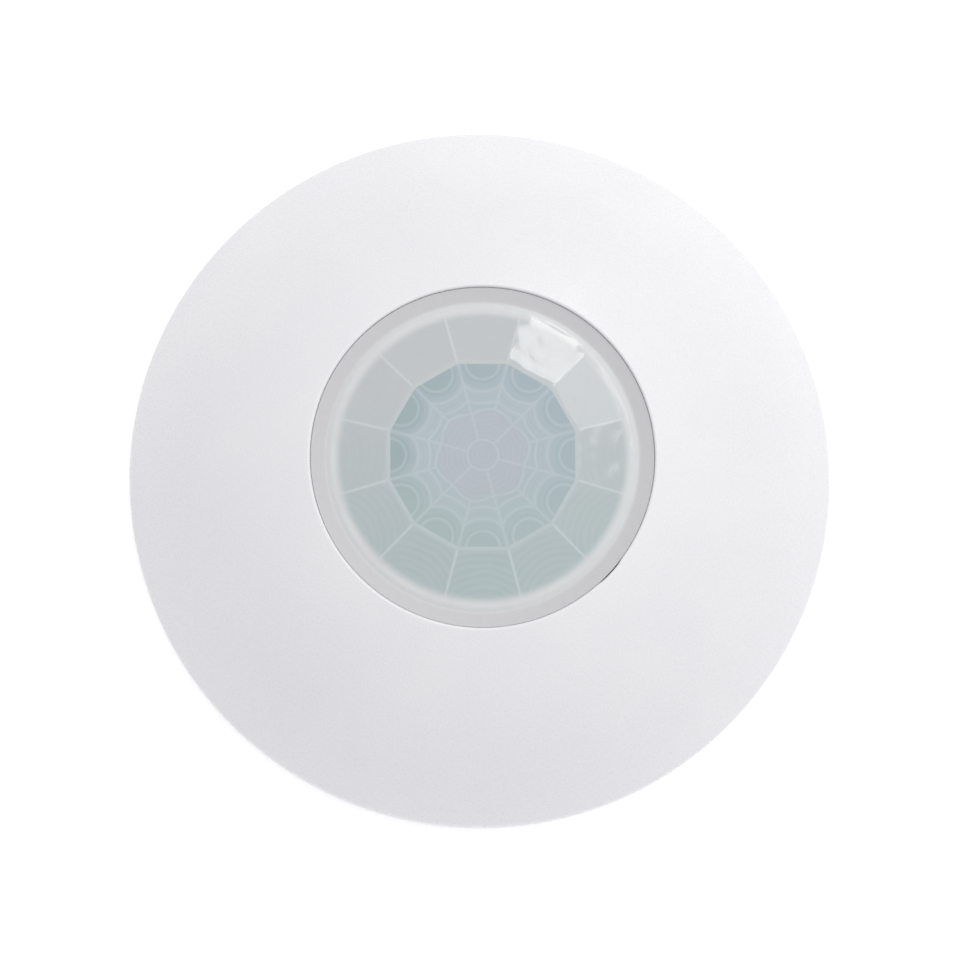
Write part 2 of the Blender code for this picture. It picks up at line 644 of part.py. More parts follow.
def terminals():
    """Screws that turn in their wells, and brass cages that climb them and grip the wire."""
    for number, x in enumerate(terminal_xs(), 1):
        profile = [
            (0.0, 0.0010),
            (TERMINAL_HEAD_RADIUS - 0.0002, 0.0010),
            (TERMINAL_HEAD_RADIUS, 0.0008),
            (TERMINAL_HEAD_RADIUS, 0.0),
            (TERMINAL_SHANK_RADIUS, 0.0),
            (TERMINAL_SHANK_RADIUS, -0.0030),
            (0.0, -0.0030),
        ]
        place = (x, TERMINAL_Y, TERMINAL_HEAD_Z)
        screw = turned(f"terminal_screw_{number}", profile, SMALL, False, place)
        slot_place = (x, TERMINAL_Y, TERMINAL_HEAD_Z + 0.0010)
        cut(screw, box(f"screw_slot_{number}", (0.0040, 0.0005, 0.0010), slot_place))
        finish(screw, STEEL)
        cage_z = TERMINAL_CAVITY_LOW + GAP
        cage = standing_box(f"wire_clamp_{number}", CLAMP_SIZE, (x, TERMINAL_Y), cage_z)
        window_place = (x, TERMINAL_Y, cage_z + 0.00115)
        cut(cage, box(f"cage_window_{number}", (0.0023, 0.0060, 0.0013), window_place))
        thread = (TERMINAL_SHANK_RADIUS + GAP, cage_z + 0.001, TERMINAL_CAVITY_TOP)
        cut(cage, rods(f"cage_thread_{number}", *thread, [(x, TERMINAL_Y)], 8))
        finish(cage, BRASS)


# ---------------------------------------------------------------- tamper contact
def tamper():
    """A plunger through the floor that follows the ramp of the base, its spring and its switch."""
    x, y = polar(PLUNGER_RING, PLUNGER_ANGLE)
    profile = [
        (0.0, 0.0122),
        (PLUNGER_RADIUS, 0.0122),
        (PLUNGER_RADIUS, COLLAR_TOP),
        (0.0022, COLLAR_TOP),
        (0.0022, COLLAR_LOW),
        (PLUNGER_RADIUS, COLLAR_LOW),
        (PLUNGER_RADIUS, PLUNGER_TIP_Z + 0.0006),
        (0.0005, PLUNGER_TIP_Z),
        (0.0, PLUNGER_TIP_Z),
    ]
    local = [(r, z - PLUNGER_TIP_Z) for r, z in profile]
    finish(turned("tamper_plunger", local, SMALL, False, (x, y, PLUNGER_TIP_Z)), CREAM)
    switch = standing_box("tamper_switch", (0.0060, 0.0060, 0.0035), (x, y), PARTS_Z)
    cut(switch, rods("switch_well", PLUNGER_HOLE, 0.010, 0.0128, [(x, y)]))
    finish(switch, BLACK)
    low = COLLAR_TOP + GAP + SPRING_WIRE
    high = BOARD_LOW - GAP - SPRING_WIRE
    steps = SPRING_TURNS * 10
    curve = bpy.data.curves.new("tamper_spring", "CURVE")
    curve.dimensions = "3D"
    curve.bevel_depth = SPRING_WIRE
    curve.bevel_resolution = 2
    curve.use_fill_caps = True
    spline = curve.splines.new("POLY")
    spline.points.add(steps)
    for point, share in zip(spline.points, np.linspace(0.0, 1.0, steps + 1)):
        turn = 2 * math.pi * SPRING_TURNS * share
        point.co = (SPRING_MEAN * math.cos(turn), SPRING_MEAN * math.sin(turn), (high - low) * share, 1.0)
    finish(meshed("tamper_spring", add("spring_path", curve, (x, y, low))), STEEL)


# ---------------------------------------------------------------- settings
def dip_switch():
    """A switch block with three wells, and three sliders that travel in them along Y."""
    block = standing_box("dip_switch", DIP_SIZE, DIP_CENTRE, PARTS_Z)
    top = PARTS_Z + DIP_SIZE.z
    wells = []
    for number in range(3):
        x = DIP_CENTRE.x + (number - 1) * DIP_PITCH
        wells.append(((0.0019, 0.0044, 0.0032), Vector((x, DIP_CENTRE.y, top))))
        place = (x, DIP_CENTRE.y + DIP_REST_Y)
        slider = standing_box(f"dip_slider_{number + 1}", DIP_SLIDER_SIZE, place, top - 0.0013)
        finish(slider, CREAM)
    cut(block, boxes("dip_wells", wells))
    return finish(block, RED)


def trimmer():
    """The adjuster that sets the sensitivity: a square body and a slotted rotor in its well."""
    body = standing_box("trimmer_body", TRIMMER_SIZE, TRIMMER_CENTRE, PARTS_Z)
    top = PARTS_Z + TRIMMER_SIZE.z
    place = (TRIMMER_CENTRE.x, TRIMMER_CENTRE.y)
    cut(body, rods("rotor_well", TRIMMER_ROTOR_RADIUS + GAP, top - 0.0012, top + 0.001, [place], 16))
    finish(body, BLUE)
    profile = [
        (0.0, 0.0016),
        (TRIMMER_ROTOR_RADIUS - 0.0002, 0.0016),
        (TRIMMER_ROTOR_RADIUS, 0.0014),
        (TRIMMER_ROTOR_RADIUS, 0.0),
        (0.0, 0.0),
    ]
    low = top - 0.0012 + GAP
    rotor = turned("trimmer_rotor", profile, 16, False, (*place, low))
    cut(rotor, box("rotor_slot", (0.0034, 0.0007, 0.0014), (*place, low + 0.0016)))
    return finish(rotor, CREAM)


# ---------------------------------------------------------------- other electronics
def chip(name, centre, length, pins):
    """A black package with bent legs along its two long sides."""
    body = standing_box(name, (length, 0.0039, 0.0015), centre, PARTS_Z + 0.0001)
    per_side = pins // 2
    legs = []
    for side in (-1, 1):
        for i in range(per_side):
            x = centre[0] + (i - (per_side - 1) / 2) * 0.00127
            place = Vector((x, centre[1] + side * 0.0024, PARTS_Z + 0.0003))
            legs.append(((0.0004, 0.0013, 0.0006), place))
    return finish(join(body, boxes(name + "_legs", legs)), BLACK)


def capacitor(name, centre):
    """An aluminium can capacitor with a rounded top edge and a rolled groove."""
    profile = [
        (0.0, 0.0054),
        (0.0027, 0.0054),
        (0.00315, 0.0050),
        (0.00315, 0.0012),
        (0.0029, 0.0010),
        (0.00315, 0.0008),
        (0.00315, 0.0),
        (0.0, 0.0),
    ]
    return finish(turned(name, profile, 16, False, (*centre, PARTS_Z)), STEEL)


def indicator_led():
    """A small domed lamp that shines through the lens."""
    radius = 0.0015
    dome = fillet((0.0, 0.0031), radius, math.pi / 2, 0.0, 3)
    dome[0] = (0.0, dome[0][1])
    profile = dome + [(radius, 0.0008), (0.0019, 0.0008), (0.0019, 0.0), (0.0, 0.0)]
    return finish(turned("indicator_led", profile, SMALL, False, (*LED_CENTRE, PARTS_Z)), LED_RED)


def electronics():
    chip("controller_chip", (-0.0020, 0.0140), 0.0087, 14)
    chip("amplifier_chip", (-0.0095, -0.0060), 0.0050, 8)
    for number, centre in enumerate([(-0.0160, -0.0130), (-0.0240, -0.0080)], 1):
        capacitor(f"filter_capacitor_{number}", centre)
    relay = standing_box("alarm_relay", (0.0076, 0.0150, 0.0056), (-0.0230, 0.0060), PARTS_Z)
    bevel = relay.modifiers.new("Rounded edges", "BEVEL")
    bevel.width = 0.0003
    bevel.segments = 1
    finish(relay, BLACK)
    indicator_led()
    chip_size = (0.0020, 0.00125, 0.0006)
    resistors = [(-0.0095, 0.0070), (-0.0095, 0.0095), (0.0080, 0.0190)]
    for number, centre in enumerate(resistors, 1):
        finish(standing_box(f"resistor_{number}", chip_size, centre, PARTS_Z), BLACK)
    ceramics = [(0.0080, 0.0155), (-0.0120, 0.0180), (0.0010, -0.0095)]
    for number, centre in enumerate(ceramics, 1):
        finish(standing_box(f"ceramic_capacitor_{number}", chip_size, centre, PARTS_Z), CERAMIC)


front_cover()
lens()
lens_retainer()
snap_ring()
mounting_base()
cable_grommet()
chassis()
circuit_board()
board_screws()
pyro()
terminal_block()
terminals()
tamper()
dip_switch()
trimmer()
electronics()
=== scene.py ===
# %% [markdown]
# # A ceiling motion sensor
# The sensor lies on its back: its mounting face is at z = 0 and its lens looks along +Z.
# The working parts come from a finished engineering model, the frame. This lesson makes what
# the eye sees: the white dome, the milky faceted lens, and the finishes, rounded edges and
# copper tracks inside.

# %% The frame and its box
import json
import math

import bmesh
import bpy
import numpy as np
from mathutils import Matrix, Vector

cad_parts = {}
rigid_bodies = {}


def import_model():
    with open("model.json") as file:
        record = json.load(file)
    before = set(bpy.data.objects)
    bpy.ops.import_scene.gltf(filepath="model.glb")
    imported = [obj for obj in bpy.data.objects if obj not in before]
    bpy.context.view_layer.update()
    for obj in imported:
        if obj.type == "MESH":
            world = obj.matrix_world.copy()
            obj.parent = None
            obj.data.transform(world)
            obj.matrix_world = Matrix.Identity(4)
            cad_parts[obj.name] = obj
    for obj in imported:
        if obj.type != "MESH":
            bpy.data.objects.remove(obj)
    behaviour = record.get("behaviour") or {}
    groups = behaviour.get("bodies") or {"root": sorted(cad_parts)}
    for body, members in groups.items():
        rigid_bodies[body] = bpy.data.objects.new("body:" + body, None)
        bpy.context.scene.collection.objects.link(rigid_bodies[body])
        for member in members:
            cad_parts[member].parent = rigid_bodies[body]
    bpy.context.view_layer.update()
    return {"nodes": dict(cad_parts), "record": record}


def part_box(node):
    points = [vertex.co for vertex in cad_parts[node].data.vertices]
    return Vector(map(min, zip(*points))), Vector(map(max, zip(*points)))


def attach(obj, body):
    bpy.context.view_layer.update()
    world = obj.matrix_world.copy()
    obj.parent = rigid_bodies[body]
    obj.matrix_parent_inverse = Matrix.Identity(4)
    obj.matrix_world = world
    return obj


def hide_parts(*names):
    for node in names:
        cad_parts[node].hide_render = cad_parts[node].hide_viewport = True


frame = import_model()
NODES = frame["nodes"]
MM = 1000.0

# %% [markdown]
# ## Camera
# The sensor is looked at almost along its lens axis, about nine degrees off it, from far away.
# A long lens at 0.7 m keeps the circles nearly round, as in a product picture. The picture's
# right side is kept along +X, so the three camera directions are built one from the other.

# %% Camera
CAMERA_AZIMUTH = math.radians(-7.0)
CAMERA_ELEVATION = math.radians(81.4)
CAMERA_DISTANCE = 0.70
CAMERA_AIM = Vector((0.0, -0.0003, 0.0031))
CAMERA_FOCAL_MM = 183.7
CAMERA_SENSOR_MM = 36.0
CAMERA_NEAR = 0.01

camera_data = bpy.data.cameras.new("studio_camera")
camera_data.lens = CAMERA_FOCAL_MM
camera_data.sensor_width = CAMERA_SENSOR_MM
camera_data.clip_start = CAMERA_NEAR
camera = bpy.data.objects.new("studio_camera", camera_data)
bpy.context.scene.collection.objects.link(camera)
view_from = Vector((
    math.sin(CAMERA_AZIMUTH) * math.cos(CAMERA_ELEVATION),
    -math.cos(CAMERA_AZIMUTH) * math.cos(CAMERA_ELEVATION),
    math.sin(CAMERA_ELEVATION),
))
camera_right = Vector((1.0, 0.0, 0.0)) - view_from * view_from.x
camera_right.normalize()
camera_up = view_from.cross(camera_right)
camera.location = CAMERA_AIM + view_from * CAMERA_DISTANCE
camera.rotation_euler = Matrix((camera_right, camera_up, view_from)).transposed().to_euler()
bpy.context.scene.camera = camera
bpy.context.scene.view_settings.view_transform = "Standard"
print("camera at", [round(v, 3) for v in camera.location])

# %% [markdown]
# ## Surfaces from two parameters
# Almost every piece here is a sheet of points with two parameters: one runs along a profile
# and the other runs round the lens axis. A whole sheet is computed as one numpy array.
# A profile that closes on itself makes a ring; one that ends on the axis makes a solid.

# %% Sheet helpers
SAME_POINT = 1e-7


def piece(name, points, faces, body, look, smooth_angle=30.0):
    """Puts points and faces into a mesh object, faces turned outwards, riding on a body."""
    mesh = bpy.data.meshes.new(name)
    mesh.from_pydata(points.tolist(), [], faces)
    bm = bmesh.new()
    bm.from_mesh(mesh)
    bmesh.ops.remove_doubles(bm, verts=bm.verts, dist=SAME_POINT)
    bmesh.ops.recalc_face_normals(bm, faces=bm.faces)
    bm.to_mesh(mesh)
    bm.free()
    mesh.shade_smooth()
    mesh.set_sharp_from_angle(angle=math.radians(smooth_angle))
    made = bpy.data.objects.new(name, mesh)
    bpy.context.scene.collection.objects.link(made)
    mesh.materials.append(look)
    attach(made, body)
    size = points.max(0) - points.min(0)
    print(f"{name}: {len(mesh.polygons)} faces, {[round(float(v) * MM, 2) for v in size]} mm")
    return made


def sheet_faces(rows, columns, wrap_rows):
    """Quads between neighbouring rows; columns always wrap, rows wrap on a closed profile."""
    row = np.arange(rows if wrap_rows else rows - 1)[:, None]
    column = np.arange(columns)[None, :]
    after_row, after_column = (row + 1) % rows, (column + 1) % columns
    corners = [
        row * columns + column,
        after_row * columns + column,
        after_row * columns + after_column,
        row * columns + after_column,
    ]
    return np.stack(np.broadcast_arrays(*corners), -1).reshape(-1, 4).tolist()


def pole_faces(row_start, columns, pole):
    """A fan of triangles from one row to the point that closes it on the axis."""
    column = np.arange(columns)
    corners = [row_start + column, row_start + (column + 1) % columns, np.full(columns, pole)]
    return np.stack(corners, -1).tolist()


def solid_sheet(rows):
    """Points and faces of a sheet (rows, columns, 3) whose first and last row lie on the axis."""
    count, columns = rows.shape[:2]
    middle = rows[1:-1].reshape(-1, 3)
    points = np.concatenate([middle, rows[0, :1], rows[-1, :1]])
    last_row = (count - 3) * columns
    faces = sheet_faces(count - 2, columns, False)
    faces += pole_faces(0, columns, len(middle)) + pole_faces(last_row, columns, len(middle) + 1)
    return points, faces


def around(profile, columns):
    """A profile of (radius, z) carried round the axis: x = r cos t, y = r sin t."""
    turn = np.arange(columns) * 2 * math.pi / columns
    radius, height = profile[:, :1], profile[:, 1:]
    return np.stack([radius * np.cos(turn), radius * np.sin(turn), height + 0 * turn], -1)


def arc_run(centre, radius, start, end, steps):
    """Points of a circle in the (radius, z) plane, angles in degrees from the radius axis."""
    turn = np.radians(np.linspace(start, end, steps + 1))
    return np.stack([centre[0] + radius * np.cos(turn), centre[1] + radius * np.sin(turn)], -1)


def line_run(start, end, steps):
    """Evenly spaced points from one (radius, z) to another."""
    share = np.linspace(0.0, 1.0, steps + 1)[:, None]
    return np.asarray(start) * (1 - share) + np.asarray(end) * share


# %% [markdown]
# ## Writing materials
# A procedural material is a small sum done at every point of the surface. This helper lets the
# sum be written like arithmetic: each call adds one node and hands back its output.

# %% Material helpers
class Graph:
    """Adds nodes to one material and links them."""

    def __init__(self, name):
        self.material = bpy.data.materials.new(name)
        self.material.use_nodes = True
        self.tree = self.material.node_tree
        self.shader = self.tree.nodes["Principled BSDF"]

    def put(self, socket, value):
        if isinstance(value, bpy.types.NodeSocket):
            self.tree.links.new(value, socket)
        else:
            socket.default_value = value

    def node(self, kind, **settings):
        made = self.tree.nodes.new(kind)
        for key, value in settings.items():
            setattr(made, key, value)
        return made

    def math(self, operation, *values):
        made = self.node("ShaderNodeMath", operation=operation)
        for socket, value in zip(made.inputs, values):
            self.put(socket, value)
        return made.outputs[0]

    def place(self):
        """The x, y and z of the point in the object's own space, in millimetres."""
        coordinate = self.node("ShaderNodeTexCoord")
        scale = self.node("ShaderNodeVectorMath", operation="SCALE")
        self.put(scale.inputs[0], coordinate.outputs["Object"])
        scale.inputs["Scale"].default_value = MM
        return scale.outputs[0]

    def split(self, vector):
        made = self.node("ShaderNodeSeparateXYZ")
        self.put(made.inputs[0], vector)
        return made.outputs

    def noise(self, vector, scale, detail, roughness=0.5):
        made = self.node("ShaderNodeTexNoise")
        self.put(made.inputs["Vector"], vector)
        made.inputs["Scale"].default_value = scale
        made.inputs["Detail"].default_value = detail
        made.inputs["Roughness"].default_value = roughness
        return made.outputs[0]

    def spread(self, value, low, high, to_low, to_high):
        """Takes low..high to to_low..to_high, and holds the ends."""
        made = self.node("ShaderNodeMapRange", interpolation_type="SMOOTHSTEP")
        for socket, given in zip(made.inputs, (value, low, high, to_low, to_high)):
            self.put(socket, given)
        return made.outputs[0]

    def mix(self, share, first, second):
        made = self.node("ShaderNodeMix", data_type="RGBA")
        self.put(made.inputs[0], share)
        for socket, value in ((made.inputs[6], first), (made.inputs[7], second)):
            self.put(socket, (*value, 1.0) if isinstance(value, tuple) else value)
        return made.outputs[2]

    def bump(self, height, distance):
        """A bump whose height is in units of `distance` metres."""
        made = self.node("ShaderNodeBump")
        made.inputs["Strength"].default_value = 1.0
        made.inputs["Distance"].default_value = distance
        self.put(made.inputs["Height"], height)
        self.put(self.shader.inputs["Normal"], made.outputs[0])

    def set(self, **values):
        for key, value in values.items():
            self.put(self.shader.inputs[key.replace("_", " ")], value)


# %% [markdown]
# ## Moulded plastic
# Plastic from a mould is never one flat colour: it clouds a little, and the spark-eroded grain
# of the mould makes its gloss uneven. One helper gives every plastic, and the metals too.

# %% Moulded finish
CLOUD_SCALE = 0.06
CLOUD_ENDS = (0.35, 0.65)
GRAIN_ENDS = (0.3, 0.7)
GLOSSIER, DULLER = 0.05, 0.07


def moulded(name, colour, shade, roughness, grain_mm=0.25, depth=0.000004, coat=0.0):
    """Two close colours in soft clouds, fine grain of grain_mm, and gloss that varies with it."""
    graph = Graph(name)
    place = graph.place()
    clouds = graph.noise(place, CLOUD_SCALE, 3.0)
    grain = graph.noise(place, 1.0 / grain_mm, 2.0, 0.6)
    share = graph.spread(clouds, *CLOUD_ENDS, 0.0, 1.0)
    graph.set(Base_Color=graph.mix(share, colour, shade))
    gloss = graph.spread(grain, *GRAIN_ENDS, roughness - GLOSSIER, roughness + DULLER)
    graph.set(Roughness=gloss)
    graph.set(Coat_Weight=coat)
    graph.bump(grain, depth)
    return graph.material


# %% [markdown]
# ## The white dome
# The cover is one injection-moulded shell. Outside it is part of a sphere that ends in a short
# upright wall; the lens hole has a small rounded rim. The outline is a chain of arcs, each one
# tangent to the next, so light runs over it without a break. Turning it about the lens axis
# gives the shell, and a small dent in the rim is the notch for a screwdriver tip.

# %% Dome outline
cover_low, cover_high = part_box("front_cover")
COVER_R = cover_high.x
COVER_EDGE_Z = cover_low.z
DOME_R = 0.06435
DOME_Z = -0.0360
WALL = 0.0020
EDGE_FILLET = 0.0020
HOLE_R = 0.02395
HOLE_FILLET = 0.00034
SEAT_R = 0.0275
SEAT_Z = 0.0209
SKIRT_INNER_R = 0.0480
SKIRT_CORNER = 0.0015
LIP = 0.0003
FIRST_STEP = 0.0004
SEAT_STEP = 0.0003
SEAT_CORNER = 0.0002


def dome_height(radius, inset=0.0):
    """Pythagoras: the height of a sphere of radius DOME_R - inset, so far from its axis."""
    return DOME_Z + math.sqrt((DOME_R - inset) ** 2 - radius**2)


rim_centre = (HOLE_R + HOLE_FILLET, dome_height(HOLE_R + HOLE_FILLET, HOLE_FILLET))
edge_centre = (COVER_R - EDGE_FILLET, dome_height(COVER_R - EDGE_FILLET, EDGE_FILLET))
rim_turn = math.degrees(math.atan2(rim_centre[1] - DOME_Z, rim_centre[0]))
edge_turn = math.degrees(math.atan2(edge_centre[1] - DOME_Z, edge_centre[0]))
skirt_top = dome_height(SKIRT_INNER_R - SKIRT_CORNER, WALL) - SKIRT_CORNER
inner_start = math.degrees(math.acos((SKIRT_INNER_R - SKIRT_CORNER) / (DOME_R - WALL)))
inner_end = math.degrees(math.acos(SEAT_R / (DOME_R - WALL)))
dome_profile = np.concatenate([
    arc_run(rim_centre, HOLE_FILLET, 180.0, rim_turn, 12),
    arc_run((0.0, DOME_Z), DOME_R, rim_turn, edge_turn, 60)[1:-1],
    arc_run(edge_centre, EDGE_FILLET, edge_turn, 0.0, 12),
    line_run((COVER_R, edge_centre[1] - FIRST_STEP), (COVER_R, COVER_EDGE_Z + LIP), 3),
    arc_run((COVER_R - LIP, COVER_EDGE_Z + LIP), LIP, -22.5, -90.0, 3),
    arc_run((SKIRT_INNER_R + LIP, COVER_EDGE_Z + LIP), LIP, -90.0, -180.0, 4),
    line_run((SKIRT_INNER_R, COVER_EDGE_Z + 2 * LIP), (SKIRT_INNER_R, skirt_top), 2),
    arc_run((0.0, DOME_Z), DOME_R - WALL, inner_start, inner_end, 24),
    line_run((SEAT_R, SEAT_Z - SEAT_CORNER), (SEAT_R, SEAT_Z), 1),
    line_run((SEAT_R - SEAT_STEP, SEAT_Z), (HOLE_R, SEAT_Z), 3),
    line_run((HOLE_R, SEAT_Z + SEAT_STEP), (HOLE_R, rim_centre[1] - SEAT_STEP), 2),
])
rim_height = float(dome_profile[:, 1].max()) * MM
print(f"dome outline: {len(dome_profile)} points, hole rim at {rim_height:.2f} mm")

# %% [markdown]
# ### Dome finish, notch and mesh
# The cover's plastic is bright white with a fine grain. Its mesh is the outline carried round the
# axis, and the notch is a push given to the few points of the rim that lie beside its direction.

# %% Dome finish and mesh
COLUMNS = 360
NOTCH_TURN = math.radians(-42.5)
NOTCH_HALF_WIDTH = math.radians(5.0)
NOTCH_DEPTH = 0.00012
NOTCH_REACH = 1.4 * HOLE_FILLET
NOTCH_DROP = 0.6
COVER_WHITE = (0.845, 0.845, 0.845)
COVER_SHADE = (0.830, 0.832, 0.836)

white_plastic = moulded("white_plastic", COVER_WHITE, COVER_SHADE, 0.30, 0.40, 0.000042)


def notched(sheet):
    """Pushes the rim outwards and down by a flat-topped bell: depth * exp(-(turn / width)^6)."""
    turn = np.arctan2(sheet[..., 1], sheet[..., 0])
    radius = np.hypot(sheet[..., 0], sheet[..., 1])
    beside = np.exp(-(((turn - NOTCH_TURN) / NOTCH_HALF_WIDTH) ** 6))
    on_rim = np.clip(1.0 - (radius - HOLE_R) / NOTCH_REACH, 0.0, 1.0)
    push = NOTCH_DEPTH * beside * on_rim * (sheet[..., 2] > SEAT_Z)
    moved = sheet.copy()
    moved[..., 0] += push * np.cos(turn)
    moved[..., 1] += push * np.sin(turn)
    moved[..., 2] -= NOTCH_DROP * push
    return moved


dome_sheet = notched(around(dome_profile, COLUMNS))
dome = piece(
    "dome_cover", dome_sheet.reshape(-1, 3), sheet_faces(len(dome_profile), COLUMNS, True),
    "cover", white_plastic, 40.0,
)
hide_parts("front_cover")

# %% [markdown]
# ## The lens
# The lens is a thin shell of milky polyethylene: a twelve-sided flat, twelve facets that slope
# away from it, a rounded shoulder and a steep wall that disappears into the dome.
# The sheet's rings are twelve-sided near the middle and turn into circles at the shoulder, so
# that its rows follow every crease. Where two facets meet, a soft maximum rounds the crease
# by a tenth of a millimetre, as a polished mould does.

# %% Lens sizes
lens_low, lens_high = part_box("lens")
TOP_SPARE = 0.00004
LENS_TOP = lens_high.z - TOP_SPARE
FLAT_APOTHEM = 0.01286
BAND = 0.00044
SIDES = 12
SECTOR = 2 * math.pi / SIDES
TILT = math.radians(11.0)
BAND_TILT = math.radians(4.5)
SHOULDER_IN = 0.0208
BEAD_R = 0.0024
BEAD_FOOT_R = 0.0005
BEAD_SLOPE = 30.0
LEDGE_SLOPE = -14.0
HOLE_PLAY = 0.00002
LENS_R = HOLE_R - HOLE_PLAY
LENS_WALL = 0.0010
FLANGE_PLAY = 0.0003
FLANGE_TOP = SEAT_Z - FLANGE_PLAY
FLANGE_R = lens_high.x
print(f"lens: flat {2 * FLAT_APOTHEM * MM:.1f} mm, facets to {2 * SHOULDER_IN * MM:.1f} mm across")

# %% [markdown]
# ### Heights and rings
# Each crease is where two planes meet, so the height is the smaller of the two, made soft. The
# Fresnel rings are cut on the inner skin, each set about the centre of its own small lens. A set
# of rings is written as three lengths: how far out its centre lies, the radius that is left
# blank round that centre, and the pitch from one groove to the next.

# %% Heights and rings
BAND_CREASE, FACET_CREASE = 0.00005, 0.00006
GROOVE_DEPTH = 0.00012
FACET_RINGS = (0.0238, 0.0017, 0.00098)
FLAT_RINGS = (0.0130, 0.0024, 0.00070)
FACET_ZONE_STARTS, FACET_ZONE_ENDS = (0.01352, 0.01372), (0.0199, 0.0204)
FLAT_ZONE_STARTS, FLAT_ZONE_ENDS = (0.0066, 0.0070), (0.0124, 0.0127)


def soft_least(first, second, width):
    """The smaller of two heights, with the crease between them rounded over `width`."""
    return 0.5 * (first + second - np.sqrt((first - second) ** 2 + width**2))


def ease(value, low, high):
    """0 below `low`, 1 above `high`, an S-curve between: 3 t^2 - 2 t^3."""
    share = np.clip((value - low) / (high - low), 0.0, 1.0)
    return share * share * (3.0 - 2.0 * share)


def sector_place(x, y):
    """Along and across the middle line of the thirty-degree sector that a point lies in."""
    turn = np.arctan2(y, x)
    off = (turn + SECTOR / 2) % SECTOR - SECTOR / 2
    radius = np.hypot(x, y)
    return radius * np.cos(off), radius * np.sin(off)


def faceted_height(reach):
    """Flat, then a gently tilted band, then the facet: straight lines in the distance `reach`."""
    out = reach - FLAT_APOTHEM
    band = -out * math.tan(BAND_TILT)
    facet = -BAND * math.tan(BAND_TILT) - (out - BAND) * math.tan(TILT)
    return LENS_TOP + soft_least(soft_least(0.0 * out, band, BAND_CREASE), facet, FACET_CREASE)


def groove_relief(x, y):
    """Fresnel rings: a cosine of the distance to each small lens's centre, none close to it."""
    reach, aside = sector_place(x, y)
    radius = np.hypot(x, y)
    depth = 0.0 * reach
    on_facet = ease(reach, *FACET_ZONE_STARTS) * (1.0 - ease(radius, *FACET_ZONE_ENDS))
    on_flat = ease(radius, *FLAT_ZONE_STARTS) * (1.0 - ease(reach, *FLAT_ZONE_ENDS))
    for (centre, blank, pitch), mask in ((FACET_RINGS, on_facet), (FLAT_RINGS, on_flat)):
        distance = np.hypot(reach - centre, aside)
        wave = 0.5 - 0.5 * np.cos(2 * math.pi * (distance - blank) / pitch)
        depth += mask * wave * (distance > blank)
    return depth * GROOVE_DEPTH


# %% [markdown]
# ### The two skins
# The outer skin has few rows, because its facets are plane. The inner skin carries the grooves
# and has a row for every fraction of their pitch. Both share their directions round the axis.

# %% Lens skins
OUTER_ACROSS = np.concatenate([
    np.linspace(0.0, FLAT_APOTHEM - 0.0001, 20)[1:],
    np.linspace(FLAT_APOTHEM, FLAT_APOTHEM + BAND, 5),
    np.linspace(FLAT_APOTHEM + BAND + 0.0001, SHOULDER_IN, 18),
])
INNER_ACROSS = np.concatenate([
    np.linspace(0.0, FLAT_APOTHEM, 66)[1:], np.linspace(FLAT_APOTHEM + 0.0002, SHOULDER_IN, 44),
])
PER_SIDE = 42
CREASE_PULL = 0.3
ROUNDING_FROM = 0.0145
ROUNDING_POWER = 1.5
SPOKE_CREASE = 0.00010
SHOULDER_SLOPE = math.tan(math.radians(20.0))
print("rows of the lens, outside and inside:", len(OUTER_ACROSS), len(INNER_ACROSS))


def lens_columns():
    """Directions round the axis, a little closer together near each of the twelve creases."""
    share = np.linspace(-1.0, 1.0, PER_SIDE + 1)[:-1]
    bent = np.sin(share * math.pi / 2) * CREASE_PULL + share * (1.0 - CREASE_PULL)
    return (np.arange(SIDES)[:, None] * SECTOR + bent[None, :] * SECTOR / 2).reshape(-1)


def lens_skin(across, inset, relief):
    """Rings that are twelve-sided near the middle and round at the shoulder, `inset` inwards."""
    turn = lens_columns()
    off = (turn + SECTOR / 2) % SECTOR - SECTOR / 2
    across = across[:, None]
    rounded = (across - ROUNDING_FROM) / (SHOULDER_IN - ROUNDING_FROM)
    rounded = np.clip(rounded, 0.0, 1.0) ** ROUNDING_POWER
    radius = across * ((1 - rounded) / np.cos(off) + rounded)
    x, y = radius * np.cos(turn), radius * np.sin(turn)
    beside = radius * np.cos(SECTOR - np.abs(off))
    reach = -soft_least(-radius * np.cos(off), -beside, SPOKE_CREASE)
    height = faceted_height(reach)
    rim_z = faceted_height(np.array([SHOULDER_IN]))[0]
    shoulder = rim_z - (radius - SHOULDER_IN) * SHOULDER_SLOPE
    height = soft_least(height, shoulder, FACET_CREASE)
    return np.stack([x, y, height - inset + relief * groove_relief(x, y)], -1), rim_z


# %% [markdown]
# ### Bead, ledge and flange
# Outside the facets the lens rounds over in a bead, meets a narrow ledge that rises to the hole,
# and drops to a flange that the retainer clamps behind the dome.

# %% Lens edge and mesh
CORNER_STEP = 0.0001
FLANGE_CORNER = 0.0002


def lens_ledge(inset, rim_z):
    """(radius, z) outside the facets: a bead, a hollow at its foot, a ledge that rises outwards."""
    lean, steep, flat = math.degrees(TILT), BEAD_SLOPE, LEDGE_SLOPE
    top = np.array([SHOULDER_IN, rim_z])
    bead = top - BEAD_R * np.array([math.sin(math.radians(lean)), math.cos(math.radians(lean))])
    reach = BEAD_R + BEAD_FOOT_R
    foot = bead + reach * np.array([math.sin(math.radians(steep)), math.cos(math.radians(steep))])
    down = arc_run(bead, BEAD_R - inset, 90.0 - lean - 3.0, 90.0 - steep, 7)
    level = arc_run(foot, BEAD_FOOT_R + inset, 270.0 - steep, 270.0 - flat, 4)[1:]
    wall_r = LENS_R - CORNER_STEP - inset
    drop = (wall_r - level[-1, 0]) * math.tan(math.radians(flat))
    return np.concatenate([down, level, line_run(level[-1], (wall_r, level[-1, 1] - drop), 4)[1:]])


